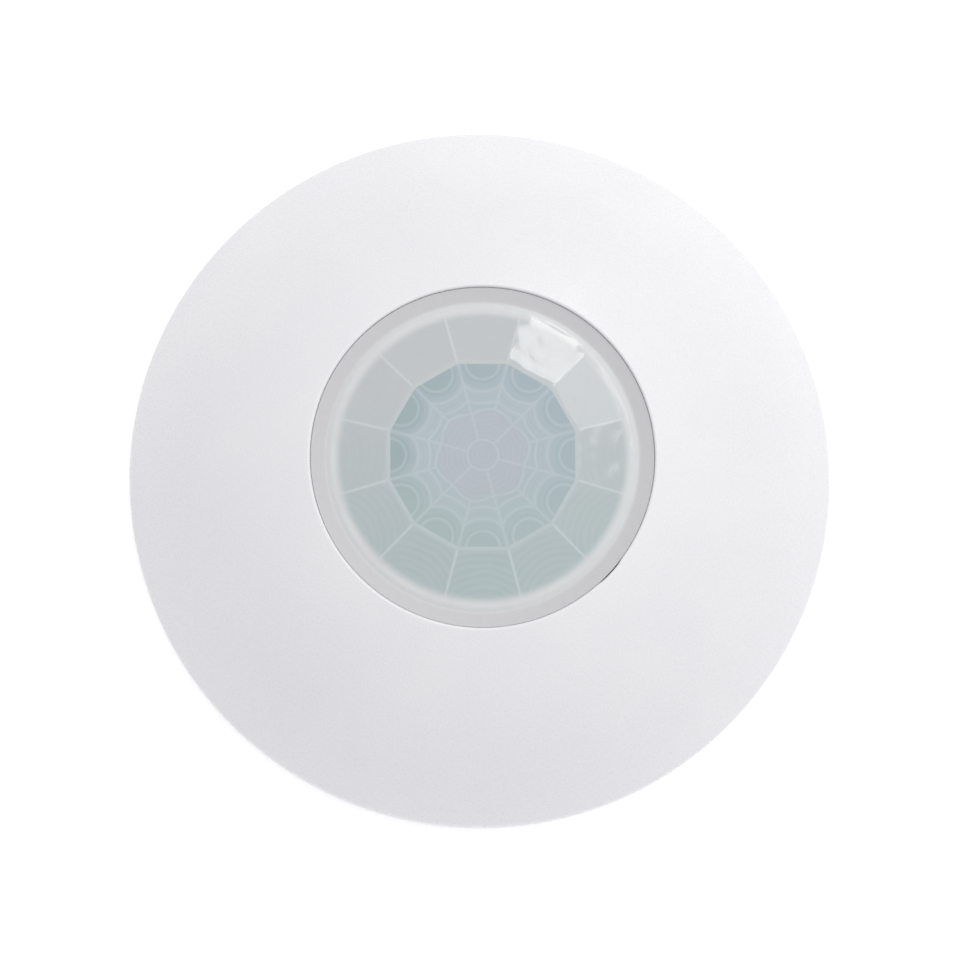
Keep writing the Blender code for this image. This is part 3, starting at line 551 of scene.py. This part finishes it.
def lens_mesh():
    """Outer skin from its pole down to the flange, and the grooved inner skin back to its pole."""
    outer, rim_z = lens_skin(OUTER_ACROSS, 0.0, 0.0)
    inner, _ = lens_skin(INNER_ACROSS, LENS_WALL, 1.0)
    outside, inside = lens_ledge(0.0, rim_z), lens_ledge(LENS_WALL, rim_z)
    foot = lens_low.z
    ring = np.concatenate([
        outside,
        line_run((LENS_R, outside[-1, 1] - CORNER_STEP), (LENS_R, FLANGE_TOP), 2),
        line_run((LENS_R + FLANGE_CORNER, FLANGE_TOP), (FLANGE_R - FLANGE_CORNER, FLANGE_TOP), 2),
        line_run((FLANGE_R, FLANGE_TOP - FLANGE_CORNER), (FLANGE_R, foot + FLANGE_CORNER), 1),
        line_run((FLANGE_R - FLANGE_CORNER, foot), (inside[-1, 0], foot), 2),
        inside[::-1],
    ])
    turn, radius = lens_columns(), ring[:, :1]
    wall = np.stack([radius * np.cos(turn), radius * np.sin(turn), ring[:, 1:] + 0 * turn], -1)
    outer_pole = np.zeros((1, len(turn), 3)) + [0.0, 0.0, LENS_TOP]
    inner_pole = outer_pole - [0.0, 0.0, LENS_WALL - GROOVE_DEPTH / 2]
    return solid_sheet(np.concatenate([outer_pole, outer, wall, inner[::-1], inner_pole]))


# %% [markdown]
# ## The lens finish
# Moulded polyethylene scatters light, so the lens looks milky, and the dark hollow behind it
# makes the thin flat middle look grey-teal. Each facet is a small Fresnel lens: rings about one
# point a little outside its outer edge, wavering slightly where the mould is worn. Inside the
# flat, twelve more lenses have their rings about points just outside the polygon's sides.
# Everything here is a sum on the point's place, in millimetres: the distance to the ring centre
# of its own thirty-degree sector, or to the nearest spoke.

# %% Where a point lies on the lens
RING_WAVER = 0.7
WAVER_SCALE = 0.35
LINE_HALF = 0.32


class LensGraph(Graph):
    """A graph that knows the point's turn, its radius and its place in its own sector."""

    def __init__(self, name):
        super().__init__(name)
        self.spot = self.place()
        self.x, self.y = self.split(self.spot)[:2]
        squares = [self.math("MULTIPLY", side, side) for side in (self.x, self.y)]
        self.radius = self.math("SQRT", self.math("ADD", *squares))
        self.turn = self.math("ARCTAN2", self.y, self.x)
        off = self.folded(SECTOR, 0.0)
        self.reach = self.math("MULTIPLY", self.radius, self.math("COSINE", off))
        aside = self.math("MULTIPLY", self.radius, self.math("SINE", off))
        self.aside_squared = self.math("MULTIPLY", aside, aside)
        self.waver = self.noise(self.spot, WAVER_SCALE, 1.0)

    def folded(self, step, start):
        """The turn measured from the nearest of the directions start, start + step, and so on."""
        ahead = self.math("ADD", self.turn, step / 2 - start)
        return self.math("SUBTRACT", self.math("FLOORED_MODULO", ahead, step), step / 2)

    def beside(self, step, start):
        """How far the point lies beside the nearest spoke."""
        across = self.math("SINE", self.folded(step, start))
        return self.math("ABSOLUTE", self.math("MULTIPLY", self.radius, across))

    def away(self, value, target):
        return self.math("ABSOLUTE", self.math("SUBTRACT", value, target))

    def line(self, distance, half=LINE_HALF):
        """1 on the line, falling to 0 at `half` beside it."""
        return self.spread(distance, 0.0, half, 1.0, 0.0)

    def strongest(self, values):
        best = values[0]
        for value in values[1:]:
            best = self.math("MAXIMUM", best, value)
        return best

    def ring_wave(self, rings):
        """1 on the crest and 0 in the valley of each groove, 0.5 in the blank; and the distance."""
        centre, blank, pitch = rings
        gap = self.math("SUBTRACT", self.reach, centre * MM)
        distance = self.math("SQRT", self.math("MULTIPLY_ADD", gap, gap, self.aside_squared))
        worn = self.math("MULTIPLY_ADD", self.waver, RING_WAVER, distance)
        wave = self.math("COSINE", self.math("MULTIPLY", worn, 2 * math.pi / (pitch * MM)))
        grooved = self.math("GREATER_THAN", distance, blank * MM)
        wave = self.math("MULTIPLY", wave, grooved)
        return self.math("MULTIPLY_ADD", wave, 0.5, 0.5), distance


# %% [markdown]
# ### Lines of the flat
# Raised lines part the small lenses of the flat: arcs and spokes like a web, and in the middle
# six petals about a hub ring. The edge of the petals swells in and out six times in a turn.

# %% Lines of the flat
PETALS = 6.0
PETAL_TURN = math.radians(75.0)
PETAL_SPOKE_TURN = math.radians(45.0)
PETAL_IN = 0.00214
PETAL_OUT = 0.0063
PETAL_SWELL = 0.05
WEB_ARCS = (0.00236, 0.0041, 0.0057)
FINE_LINE_HALF = 0.3
ZONE_SOFT = 0.1


def outside_petals(graph):
    """How far the point lies outside the petals: radius - edge - swell * cos(6 * turn)."""
    swell = graph.math("MULTIPLY_ADD", graph.turn, PETALS, -PETALS * PETAL_TURN)
    swell = graph.math("COSINE", swell)
    edge = graph.math("MULTIPLY_ADD", swell, PETAL_OUT * PETAL_SWELL * MM, PETAL_OUT * MM)
    return graph.math("SUBTRACT", graph.radius, edge)


def flat_lines(graph, petal_gap, distance, spoke):
    """The strongest of the web outside the petals, the petals' spokes and rim, and the hub."""
    petal = graph.spread(petal_gap, -ZONE_SOFT, ZONE_SOFT, 1.0, 0.0)
    arcs = graph.strongest([graph.line(graph.away(distance, arc * MM)) for arc in WEB_ARCS])
    web = graph.math("SUBTRACT", graph.strongest([arcs, spoke]), petal)
    hub_r = PETAL_IN * MM
    past_hub = graph.spread(graph.radius, hub_r - ZONE_SOFT, hub_r + ZONE_SOFT, 0.0, 1.0)
    petal_spoke = graph.line(graph.beside(2 * math.pi / PETALS, PETAL_SPOKE_TURN), FINE_LINE_HALF)
    petal_spoke = graph.math("MULTIPLY", graph.math("MULTIPLY", petal_spoke, past_hub), petal)
    rim = graph.line(graph.math("ABSOLUTE", petal_gap))
    hub = graph.line(graph.away(graph.radius, hub_r), FINE_LINE_HALF)
    return graph.strongest([web, petal_spoke, rim, hub])


# %% [markdown]
# ### Tones of the flat
# The flat is darkest at its border, painted shade where the hollow behind shows through, and bluer
# in the middle. Its left side is painted darker still, as shade away from the lamps up and to the
# right. Its bottom half turns slightly green.

# %% Tones of the flat
FLAT_SHADED_LEFT = (0.345, 0.435, 0.440)
FLAT_BORDER = (0.390, 0.472, 0.502)
FLAT_MIDDLE = (0.450, 0.520, 0.552)
FLAT_GREENISH = (0.430, 0.515, 0.500)
FLAT_CENTRE = (0.478, 0.515, 0.552)
LINE_TONE = (0.600, 0.650, 0.650)
GROOVE_LIGHT = (0.700, 0.740, 0.730)
LEFT_SHADE_FADES = (-11.0, 5.0)
MIDDLE_FROM_RING_CENTRE = (1.9, 4.6)
PETALS_FADE = (-1.2, 0.5)
GREEN_FADES = (-11.0, 1.0)
FLAT_CLOUD_SHARE, GREEN_SHARE = 0.25, 0.55
FLAT_GROOVE_SHARE, LINE_SHARE = 0.06, 0.33


def flat_colour(graph, cloud, spoke):
    """Border, middle, petals and green lower half mixed in turn, then grooves and lines on top."""
    wave, distance = graph.ring_wave(FLAT_RINGS)
    petal_gap = outside_petals(graph)
    lines = flat_lines(graph, petal_gap, distance, spoke)
    # Painted shade: the left side of the flat is darker, away from the lamps.
    lighter = graph.spread(graph.x, *LEFT_SHADE_FADES, 0.0, 1.0)
    zone = graph.mix(lighter, FLAT_SHADED_LEFT, FLAT_BORDER)
    middle = graph.spread(distance, *MIDDLE_FROM_RING_CENTRE, 0.0, 1.0)
    zone = graph.mix(middle, zone, FLAT_MIDDLE)
    zone = graph.mix(graph.math("MULTIPLY", cloud, FLAT_CLOUD_SHARE), zone, FLAT_GREENISH)
    zone = graph.mix(graph.spread(petal_gap, *PETALS_FADE, 1.0, 0.0), zone, FLAT_CENTRE)
    green = graph.spread(graph.y, *GREEN_FADES, 1.0, 0.0)
    zone = graph.mix(graph.math("MULTIPLY", green, GREEN_SHARE), zone, FLAT_GREENISH)
    zone = graph.mix(graph.math("MULTIPLY", wave, FLAT_GROOVE_SHARE), zone, GROOVE_LIGHT)
    return graph.mix(graph.math("MULTIPLY", lines, LINE_SHARE), zone, LINE_TONE)


# %% [markdown]
# ### Tones of the facets, the band and the edge
# The facets are lighter than the flat. Their top is painted lighter, as the reflection of the lamps
# above, and their bottom is painted darker and greener, as shade; a pale band runs round the flat
# with the same painted shade at its bottom. The bead outside the facets is nearly white, partly a
# painted highlight, and the ledge is light grey, painted shade.

# %% Tones of the facets
# Painted light and shade: the facets' top tone stands for the reflection of the lamps above, the
# bottom tone for shade.
FACET_LIT_TOP = (0.545, 0.570, 0.565)
FACET_SHADED_BOTTOM = (0.445, 0.525, 0.520)
FACET_CLOUD = (0.510, 0.540, 0.560)
BAND_TONE = (0.560, 0.598, 0.590)
BAND_SHADED_BOTTOM = (0.510, 0.575, 0.570)
# Painted highlight: the bead's near-white tone is partly the highlight on its rounded shoulder and
# partly its thicker milky plastic.
BEAD_AND_HIGHLIGHT_TONE = (0.690, 0.700, 0.690)
# Painted shade: the ledge's light grey stands for the shade it lies in, down in the hole below the
# rim.
LEDGE_SHADE_TONE = (0.600, 0.600, 0.603)
BEAD_ENDS = (21.5, 22.2)
BAND_ENDS = (14.0, 20.0)
FACET_CLOUD_SHARE, SPOKE_SHARE = 0.15, 0.45
GROOVES_BELOW, GROOVES_ABOVE = 0.065, 0.015


def facet_colour(graph, cloud, spoke, shade_below, wave):
    """Painted lit top and shaded bottom tone, clouds, then the grooves (plainer below) and the
    spokes on top.
    """
    facet = graph.mix(shade_below, FACET_LIT_TOP, FACET_SHADED_BOTTOM)
    facet = graph.mix(graph.math("MULTIPLY", cloud, FACET_CLOUD_SHARE), facet, FACET_CLOUD)
    share = graph.math("MULTIPLY_ADD", shade_below, GROOVES_BELOW, GROOVES_ABOVE)
    facet = graph.mix(graph.math("MULTIPLY", wave, share), facet, GROOVE_LIGHT)
    return graph.mix(graph.math("MULTIPLY", spoke, SPOKE_SHARE), facet, GROOVE_LIGHT)


def edge_colour(graph, shade_below):
    """The band inside the facets, painted darker at its bottom as shade, and the bead and the ledge
    outside them.
    """
    ledge = graph.mix(graph.spread(graph.radius, *BEAD_ENDS, 0.0, 1.0), BEAD_AND_HIGHLIGHT_TONE, LEDGE_SHADE_TONE)
    band = graph.mix(shade_below, BAND_TONE, BAND_SHADED_BOTTOM)
    return graph.mix(graph.spread(graph.radius, *BAND_ENDS, 0.0, 1.0), band, ledge)


# %% [markdown]
# ### Gloss and relief
# The facets are polished and the ledge is matt. Moulded plastic also sinks a little where it is
# thick, so faint waves run through its reflections, and the grooves show through just visibly.
# The light that enters is scattered under the surface.

# %% Lens finish
CLOUD_SIZE, HAZE_SIZE, SINK_SIZE = 0.11, 0.9, 0.30
# Painted shade: the y span, in millimetres, over which the shaded bottom tone fades out towards the
# top.
SHADE_BELOW_FADES = (-16.0, 12.0)
FLAT_EDGE = FLAT_APOTHEM * MM
FACET_EDGE = FLAT_EDGE + BAND * MM
FACETS_END = (19.4, 20.8)
POLISH = (0.08, 0.14)
LEDGE_MATT = 0.40
MATT_FROM = (20.6, 22.2)
SINK_DEPTH = 0.00010
SINK_PITCH = 2.6
SINK_SHARE = 0.08
GROOVE_SHOW_THROUGH = 0.008
SCATTER_SHARE = 0.35
SCATTER_DEPTH = 0.0007


def lens_finish():
    """Colour by zone, then gloss, sink waves and scattering."""
    graph = LensGraph("milky_polyethylene")
    wave, distance = graph.ring_wave(FACET_RINGS)
    cloud = graph.spread(graph.noise(graph.spot, CLOUD_SIZE, 3.0), *CLOUD_ENDS, 0.0, 1.0)
    spoke = graph.line(graph.beside(SECTOR, SECTOR / 2))
    # Painted shade: 1 at the bottom of the lens, 0 at its top.
    shade_below = graph.spread(graph.y, *SHADE_BELOW_FADES, 1.0, 0.0)
    inside = graph.spread(graph.reach, FLAT_EDGE - 0.10, FLAT_EDGE + 0.02, 1.0, 0.0)
    on_facet = graph.spread(graph.reach, FACET_EDGE - 0.15, FACET_EDGE + 0.25, 0.0, 1.0)
    not_past = graph.spread(graph.radius, *FACETS_END, 1.0, 0.0)
    on_facet = graph.math("MULTIPLY", on_facet, not_past)
    facet = facet_colour(graph, cloud, spoke, shade_below, wave)
    colour = graph.mix(on_facet, edge_colour(graph, shade_below), facet)
    graph.set(Base_Color=graph.mix(inside, colour, flat_colour(graph, cloud, spoke)))

    gloss = graph.spread(graph.noise(graph.spot, HAZE_SIZE, 3.0), *GRAIN_ENDS, *POLISH)
    matt = graph.spread(graph.radius, *MATT_FROM, 0.0, LEDGE_MATT)
    graph.set(Roughness=graph.math("ADD", gloss, matt))
    sink = graph.math("COSINE", graph.math("MULTIPLY", distance, 2 * math.pi / SINK_PITCH))
    uneven = graph.noise(graph.spot, SINK_SIZE, 1.0)
    sink = graph.math("MULTIPLY_ADD", sink, SINK_SHARE, uneven)
    graph.bump(graph.math("MULTIPLY_ADD", wave, GROOVE_SHOW_THROUGH, sink), SINK_DEPTH)
    graph.set(Subsurface_Weight=SCATTER_SHARE, Subsurface_Scale=SCATTER_DEPTH)
    graph.set(Subsurface_Radius=(1.0, 1.0, 1.0))
    return graph.material


# %% [markdown]
# ### The finished lens
# Skins, edge and finish come together. The whole lens replaces the frame's plain one and rides
# on the cover.

# %% Lens
milky = lens_finish()
lens_points, lens_faces = lens_mesh()
lens = piece("faceted_lens", lens_points, lens_faces, "cover", milky, 50.0)
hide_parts("lens")

# %% [markdown]
# ## Finishes inside
# Under the dome the shapes are those of the frame. Each finish is named after the material that
# the frame gives its parts, so a part finds its own.

# %% Inner finishes
METAL_GRAIN = (1.5, 0.0000008)
FINISHES = {
    "base_housing": moulded("base_plastic", (0.80, 0.80, 0.79), (0.77, 0.77, 0.76), 0.50),
    "natural_nylon": moulded("nylon", (0.76, 0.74, 0.68), (0.72, 0.70, 0.64), 0.45),
    "green_board": moulded("solder_mask", (0.015, 0.16, 0.06), (0.01, 0.12, 0.045), 0.30, 0.3),
    "black_moulding": moulded("black_epoxy", (0.018, 0.018, 0.020), (0.03, 0.03, 0.032), 0.45),
    "grey_rubber": moulded("rubber", (0.10, 0.10, 0.105), (0.13, 0.13, 0.135), 0.75),
    "terminal_green": moulded("terminal_plastic", (0.02, 0.25, 0.08), (0.02, 0.20, 0.06), 0.40),
    "trimmer_blue": moulded("trimmer_plastic", (0.02, 0.09, 0.42), (0.02, 0.07, 0.35), 0.35),
    "dip_red": moulded("dip_plastic", (0.45, 0.02, 0.015), (0.38, 0.02, 0.015), 0.35),
    "rotor_cream": moulded("cream_plastic", (0.80, 0.74, 0.58), (0.75, 0.69, 0.53), 0.40),
    "led_red": moulded("led_resin", (0.62, 0.02, 0.015), (0.55, 0.02, 0.015), 0.15, coat=0.5),
    "ceramic_tan": moulded("ceramic", (0.52, 0.38, 0.22), (0.46, 0.33, 0.19), 0.50),
    "dark_window": moulded(
        "filter_glass", (0.03, 0.025, 0.035), (0.05, 0.03, 0.05), 0.10, coat=0.6
    ),
    "nickel_can": moulded("nickel", (0.66, 0.64, 0.60), (0.60, 0.58, 0.54), 0.25, *METAL_GRAIN),
    "zinc_steel": moulded("zinc", (0.66, 0.66, 0.67), (0.58, 0.58, 0.60), 0.32, *METAL_GRAIN),
    "brass": moulded("brass_plate", (0.72, 0.53, 0.22), (0.66, 0.48, 0.20), 0.30, *METAL_GRAIN),
}


def make_metal(look):
    """Turns a moulded finish into a metal one."""
    look.node_tree.nodes["Principled BSDF"].inputs["Metallic"].default_value = 1.0


for metal in ("nickel_can", "zinc_steel", "brass"):
    make_metal(FINISHES[metal])
print("finishes inside:", len(FINISHES))

# %% [markdown]
# ## Edges that catch the light
# A real moulding or stamping never has a knife edge. Each part of the frame is copied, its loose
# triangles are merged into whole faces, and a small bevel runs along every edge that turns by more
# than thirty degrees. The copy stands in for the frame's own part.

# %% Bevelled copies
BEVELS = {
    "mounting_base": 0.00022, "chassis": 0.00018, "circuit_board": 0.00008,
    "terminal_block": 0.00015, "alarm_relay": 0.00035, "dip_switch": 0.00015,
    "trimmer_body": 0.00020, "trimmer_rotor": 0.00010, "tamper_switch": 0.00015,
    "tamper_plunger": 0.00010, "controller_chip": 0.00006, "amplifier_chip": 0.00006,
    "lens_retainer": 0.00012, "snap_ring": 0.00008, "cable_grommet": 0.00020,
    "pyro_collar": 0.00015, "pyro_can": 0.00015, "indicator_led": 0.00012,
    "filter_capacitor_1": 0.00030, "filter_capacitor_2": 0.00030,
}
SMALL_BEVEL = 0.00005
WHOLE_FACE_ANGLE = math.radians(0.5)
EDGE_ANGLE = math.radians(30.0)
LOOSE_CORNERS = 1e-6
bodies = frame["record"]["behaviour"]["bodies"]
body_of = {node: body for body, nodes in bodies.items() for node in nodes}


def bevelled_copy(node, body, look):
    """Merges the part's triangles into whole faces and rounds its edges with a Bevel modifier."""
    mesh = NODES[node].data.copy()
    mesh.name = node + "_finished"
    bm = bmesh.new()
    bm.from_mesh(mesh)
    bmesh.ops.remove_doubles(bm, verts=bm.verts, dist=LOOSE_CORNERS)
    bmesh.ops.dissolve_limit(
        bm, angle_limit=WHOLE_FACE_ANGLE, verts=bm.verts, edges=bm.edges
    )
    bmesh.ops.recalc_face_normals(bm, faces=bm.faces)
    bm.to_mesh(mesh)
    bm.free()
    mesh.shade_smooth()
    mesh.set_sharp_from_angle(angle=EDGE_ANGLE)
    mesh.materials.clear()
    mesh.materials.append(look)
    made = bpy.data.objects.new(node + "_finished", mesh)
    bpy.context.scene.collection.objects.link(made)
    bevel = made.modifiers.new("round_edges", "BEVEL")
    bevel.width = BEVELS.get(node, SMALL_BEVEL)
    bevel.segments = 2
    bevel.limit_method = "ANGLE"
    bevel.angle_limit = EDGE_ANGLE
    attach(made, body)
    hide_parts(node)


for entry in frame["record"]["subparts"]:
    node, slot = entry["node"], entry["material_slot"]
    if slot in FINISHES:
        bevelled_copy(node, body_of[node], FINISHES[slot])
rounded_parts = [item for item in bpy.data.objects if item.name.endswith("_finished")]
print("parts with rounded edges:", len(rounded_parts))

# %% [markdown]
# ## Copper under the solder mask
# On the board the tracks show as slightly raised lines under the green lacquer, and bare tinned
# pads ring the legs. A track is a flat strip carried along a path that turns by forty-five degrees.
# A pad is a low turned disc. Both are thinner than a hair, so they only catch the light.

# %% Tracks and pads
BOARD_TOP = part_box("circuit_board")[1].z
TRACK_HALF = 0.00028
TRACK_TOP_SHARE = 0.7
TRACK_RISE = 0.00005
SHORTEST_RUN = 0.0001
PAD_SIDES = 16
PAD_R = 0.0007
PAD_TOP_SHARE = 0.8
COPPER_TONES = (0.030, 0.230, 0.090), (0.025, 0.200, 0.080)
TIN_TONES = (0.62, 0.62, 0.60), (0.56, 0.56, 0.55)
track_look = moulded("masked_copper", *COPPER_TONES, 0.28, 0.3, 0.000003)
tin_look = moulded("tinned_pad", *TIN_TONES, 0.30, 0.2, 0.000008)
make_metal(tin_look)


def middle_of(node):
    """The x and y of the middle of a part of the frame."""
    low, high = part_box(node)
    return (low.x + high.x) / 2, (low.y + high.y) / 2


def track(start, end, rise):
    """A strip `rise` high: a straight run, then one at forty-five degrees to the end."""
    start, end = np.array(start), np.array(end)
    gap = end - start
    slant = np.abs(gap).min()
    bend = end - np.sign(gap) * slant
    if not SHORTEST_RUN < slant < np.abs(gap).max() - SHORTEST_RUN:
        bend = (start + end) / 2
    path = np.stack([start, bend, end])
    along = np.diff(path, axis=0)
    along /= np.linalg.norm(along, axis=1, keepdims=True)
    mean = np.stack([along[0], along[0] + along[1], along[1]])
    mean /= np.linalg.norm(mean, axis=1, keepdims=True)
    aside = np.stack([-mean[:, 1], mean[:, 0]], -1) * TRACK_HALF
    top, low = np.full(3, BOARD_TOP + rise), np.full(3, BOARD_TOP - rise)
    inner = aside * TRACK_TOP_SHARE
    ring = np.stack([
        np.column_stack([path + aside, low]), np.column_stack([path + inner, top]),
        np.column_stack([path - inner, top]), np.column_stack([path - aside, low]),
    ], 1)
    return ring.reshape(-1, 3), sheet_faces(3, 4, False) + [[3, 2, 1, 0], [8, 9, 10, 11]]


def pad(place):
    """A low turned disc: a flat top with a sloping edge, closed below."""
    top, low = BOARD_TOP + TRACK_RISE * 2, BOARD_TOP - TRACK_RISE
    profile = np.array([(0.0, top), (PAD_R * PAD_TOP_SHARE, top), (PAD_R, low), (0.0, low)])
    points, faces = solid_sheet(around(profile, PAD_SIDES))
    return points + [place[0], place[1], 0.0], faces


def gathered(name, parts, look):
    """Joins many small closed meshes into one object that rides on the head."""
    points = np.concatenate([item[0] for item in parts])
    starts = np.cumsum([0] + [len(item[0]) for item in parts])
    faces = [
        [corner + int(first) for corner in face]
        for first, item in zip(starts, parts) for face in item[1]
    ]
    return piece(name, points, faces, "head", look)


# %% [markdown]
# ### Where the tracks run
# Tracks run from the terminals to the relay, the capacitors and the tamper switch, and fan out
# from the chips side by side. A fan is one run repeated, each of its ends moved on by its own
# step. Every track has a slightly different height, so that crossing ones don't share a surface.

# %% Layout of the board
TERMINAL_EDGE_Y = -0.0165
UPPER_ROW = (-0.006, 0.0290)
RIGHT_ROW = (0.0270, 0.0040)
PADS_BEYOND_R = 0.024
RISE_SHARES = (0.8, 1.2)
VIAS = [
    (-0.0150, 0.0190), (-0.0090, 0.0240), (0.0060, 0.0250),
    (0.0170, 0.0130), (0.0240, -0.0140), (-0.0290, -0.0030),
]


def fan(start, start_step, end, end_step, order):
    """One run for each number of `order`: that many steps on at its start and at its end."""
    (x, y), (step_x, step_y) = start, start_step
    (to_x, to_y), (to_step_x, to_step_y) = end, end_step
    return [
        ((x + step_x * i, y + step_y * i), (to_x + to_step_x * i, to_y + to_step_y * i))
        for i in order
    ]


screws = [middle_of(f"terminal_screw_{i}") for i in range(1, 7)]
relay, brain = middle_of("alarm_relay"), middle_of("controller_chip")
amplifier, trimmer = middle_of("amplifier_chip"), middle_of("trimmer_body")
dip, tamper = middle_of("dip_switch"), middle_of("tamper_switch")
cans = [middle_of(f"filter_capacitor_{i}") for i in (1, 2)]
stops = [(cans[i][0] + 0.001 * i, cans[i][1]) for i in (0, 1)]
stops += [(relay[0] + 0.0016 * i, relay[1] - 0.007) for i in (2, 3)]
stops += [(tamper[0] + 0.002 * i, tamper[1]) for i in (0, 1)]
runs = [((x, TERMINAL_EDGE_Y), stop) for (x, _), stop in zip(screws, stops)]
runs += fan((brain[0] - 0.004, brain[1]), (0.0012, 0.0), UPPER_ROW, (0.0024, 0.0), range(7))
runs += fan(
    (brain[0] - 0.003, brain[1]), (0.0012, 0.0), (dip[0] - 0.003, dip[1]), (0.0025, 0.0), range(3)
)
runs += fan(amplifier, (0.001, 0.0), trimmer, (0.0, 0.0015), range(3))
runs += fan((brain[0] + 0.004, brain[1]), (0.0, 0.001), RIGHT_ROW, (0.0, 0.0035), range(4))
runs += fan(relay, (0.0, 0.0012), brain, (0.0, 0.001), (-1, 0, 1))
runs += [(cans[0], (relay[0] - 0.002, relay[1] - 0.006))]
runs += [(cans[1], (relay[0] + 0.003, relay[1] - 0.006))]
ends = [end for run in runs for end in run if math.hypot(*end) > PADS_BEYOND_R]
rises = TRACK_RISE * np.linspace(*RISE_SHARES, len(runs))
tracks = [track(*run, rise) for run, rise in zip(runs, rises)]
gathered("board_tracks", tracks, track_look)
gathered("board_pads", [pad(end) for end in ends + VIAS], tin_look)
print("tracks:", len(runs), "pads:", len(ends) + len(VIAS))

# %% [markdown]
# ## Studio
# The sensor lies on a pale floor that glows a little, until it is almost white.

# %% Floor
FLOOR_HALF = 3.0
FLOOR_DROP = 0.0002
FLOOR_TONE = (0.92, 0.92, 0.92, 1.0)
FLOOR_GLOW = 0.35

corners = np.array([[-1.0, -1.0], [1.0, -1.0], [1.0, 1.0], [-1.0, 1.0]]) * FLOOR_HALF
floor_points = np.column_stack([corners, np.full(len(corners), -FLOOR_DROP)])
floor_mesh = bpy.data.meshes.new("floor")
floor_mesh.from_pydata(floor_points.tolist(), [], [[0, 1, 2, 3]])
floor = bpy.data.objects.new("floor", floor_mesh)
bpy.context.scene.collection.objects.link(floor)
floor_graph = Graph("pale_floor")
floor_graph.set(Base_Color=FLOOR_TONE, Roughness=0.6)
floor_graph.shader.inputs["Emission Color"].default_value = (1.0, 1.0, 1.0, 1.0)
floor_graph.shader.inputs["Emission Strength"].default_value = FLOOR_GLOW
floor_mesh.materials.append(floor_graph.material)
print("floor:", 2 * FLOOR_HALF, "m wide")

# %% [markdown]
# ### Lamps
# The key lamp is a narrow upright strip, up and to the right, that shines in one facet of the
# lens. A small weak lamp stands beside it for the glint. A broad lamp overhead and one at the
# right fill the dome evenly. They are left out of reflections, so that they don't lay patches
# over the glossy facets. A faintly blue sky fills the shadows.

# %% Lamps and sky
WARM = (1.0, 0.985, 0.97)
WARMER = (1.0, 0.985, 0.96)
SKY_TONE = (0.93, 0.935, 1.0, 1.0)
SKY_STRENGTH = 0.53


def lamp(name, azimuth, elevation, distance, size, power, colour=(1.0, 1.0, 1.0)):
    """A soft lamp of (width, height) metres that looks at the sensor; angles in degrees."""
    light = bpy.data.lights.new(name, "AREA")
    light.shape = "RECTANGLE"
    light.size, light.size_y = size
    light.energy = power
    light.color = colour
    made = bpy.data.objects.new(name, light)
    bpy.context.scene.collection.objects.link(made)
    side, rise = math.radians(azimuth), math.radians(elevation)
    away = Vector((math.cos(side) * math.cos(rise), math.sin(side) * math.cos(rise), math.sin(rise)))
    made.location = away * distance
    made.rotation_euler = (-away).to_track_quat("-Z", "Y").to_euler()
    return made


lamp("key", 64.5, 47.5, 1.0, (0.12, 0.55), 1.3, WARMER)
lamp("glint", 42.0, 62.0, 1.0, (0.25, 0.25), 0.4)
soft_lamps = [
    lamp("side", 0.0, 35.0, 1.2, (0.9, 0.9), 0.95, WARM),
    lamp("overhead", 45.0, 84.0, 1.3, (1.2, 1.2), 7.6, WARM),
]
for soft in soft_lamps:
    soft.visible_glossy = False
world = bpy.data.worlds.new("studio")
world.use_nodes = True
sky = world.node_tree.nodes["Background"]
sky.inputs["Color"].default_value = SKY_TONE
sky.inputs["Strength"].default_value = SKY_STRENGTH
bpy.context.scene.world = world
print("lamps:", [item.name for item in bpy.data.lights])
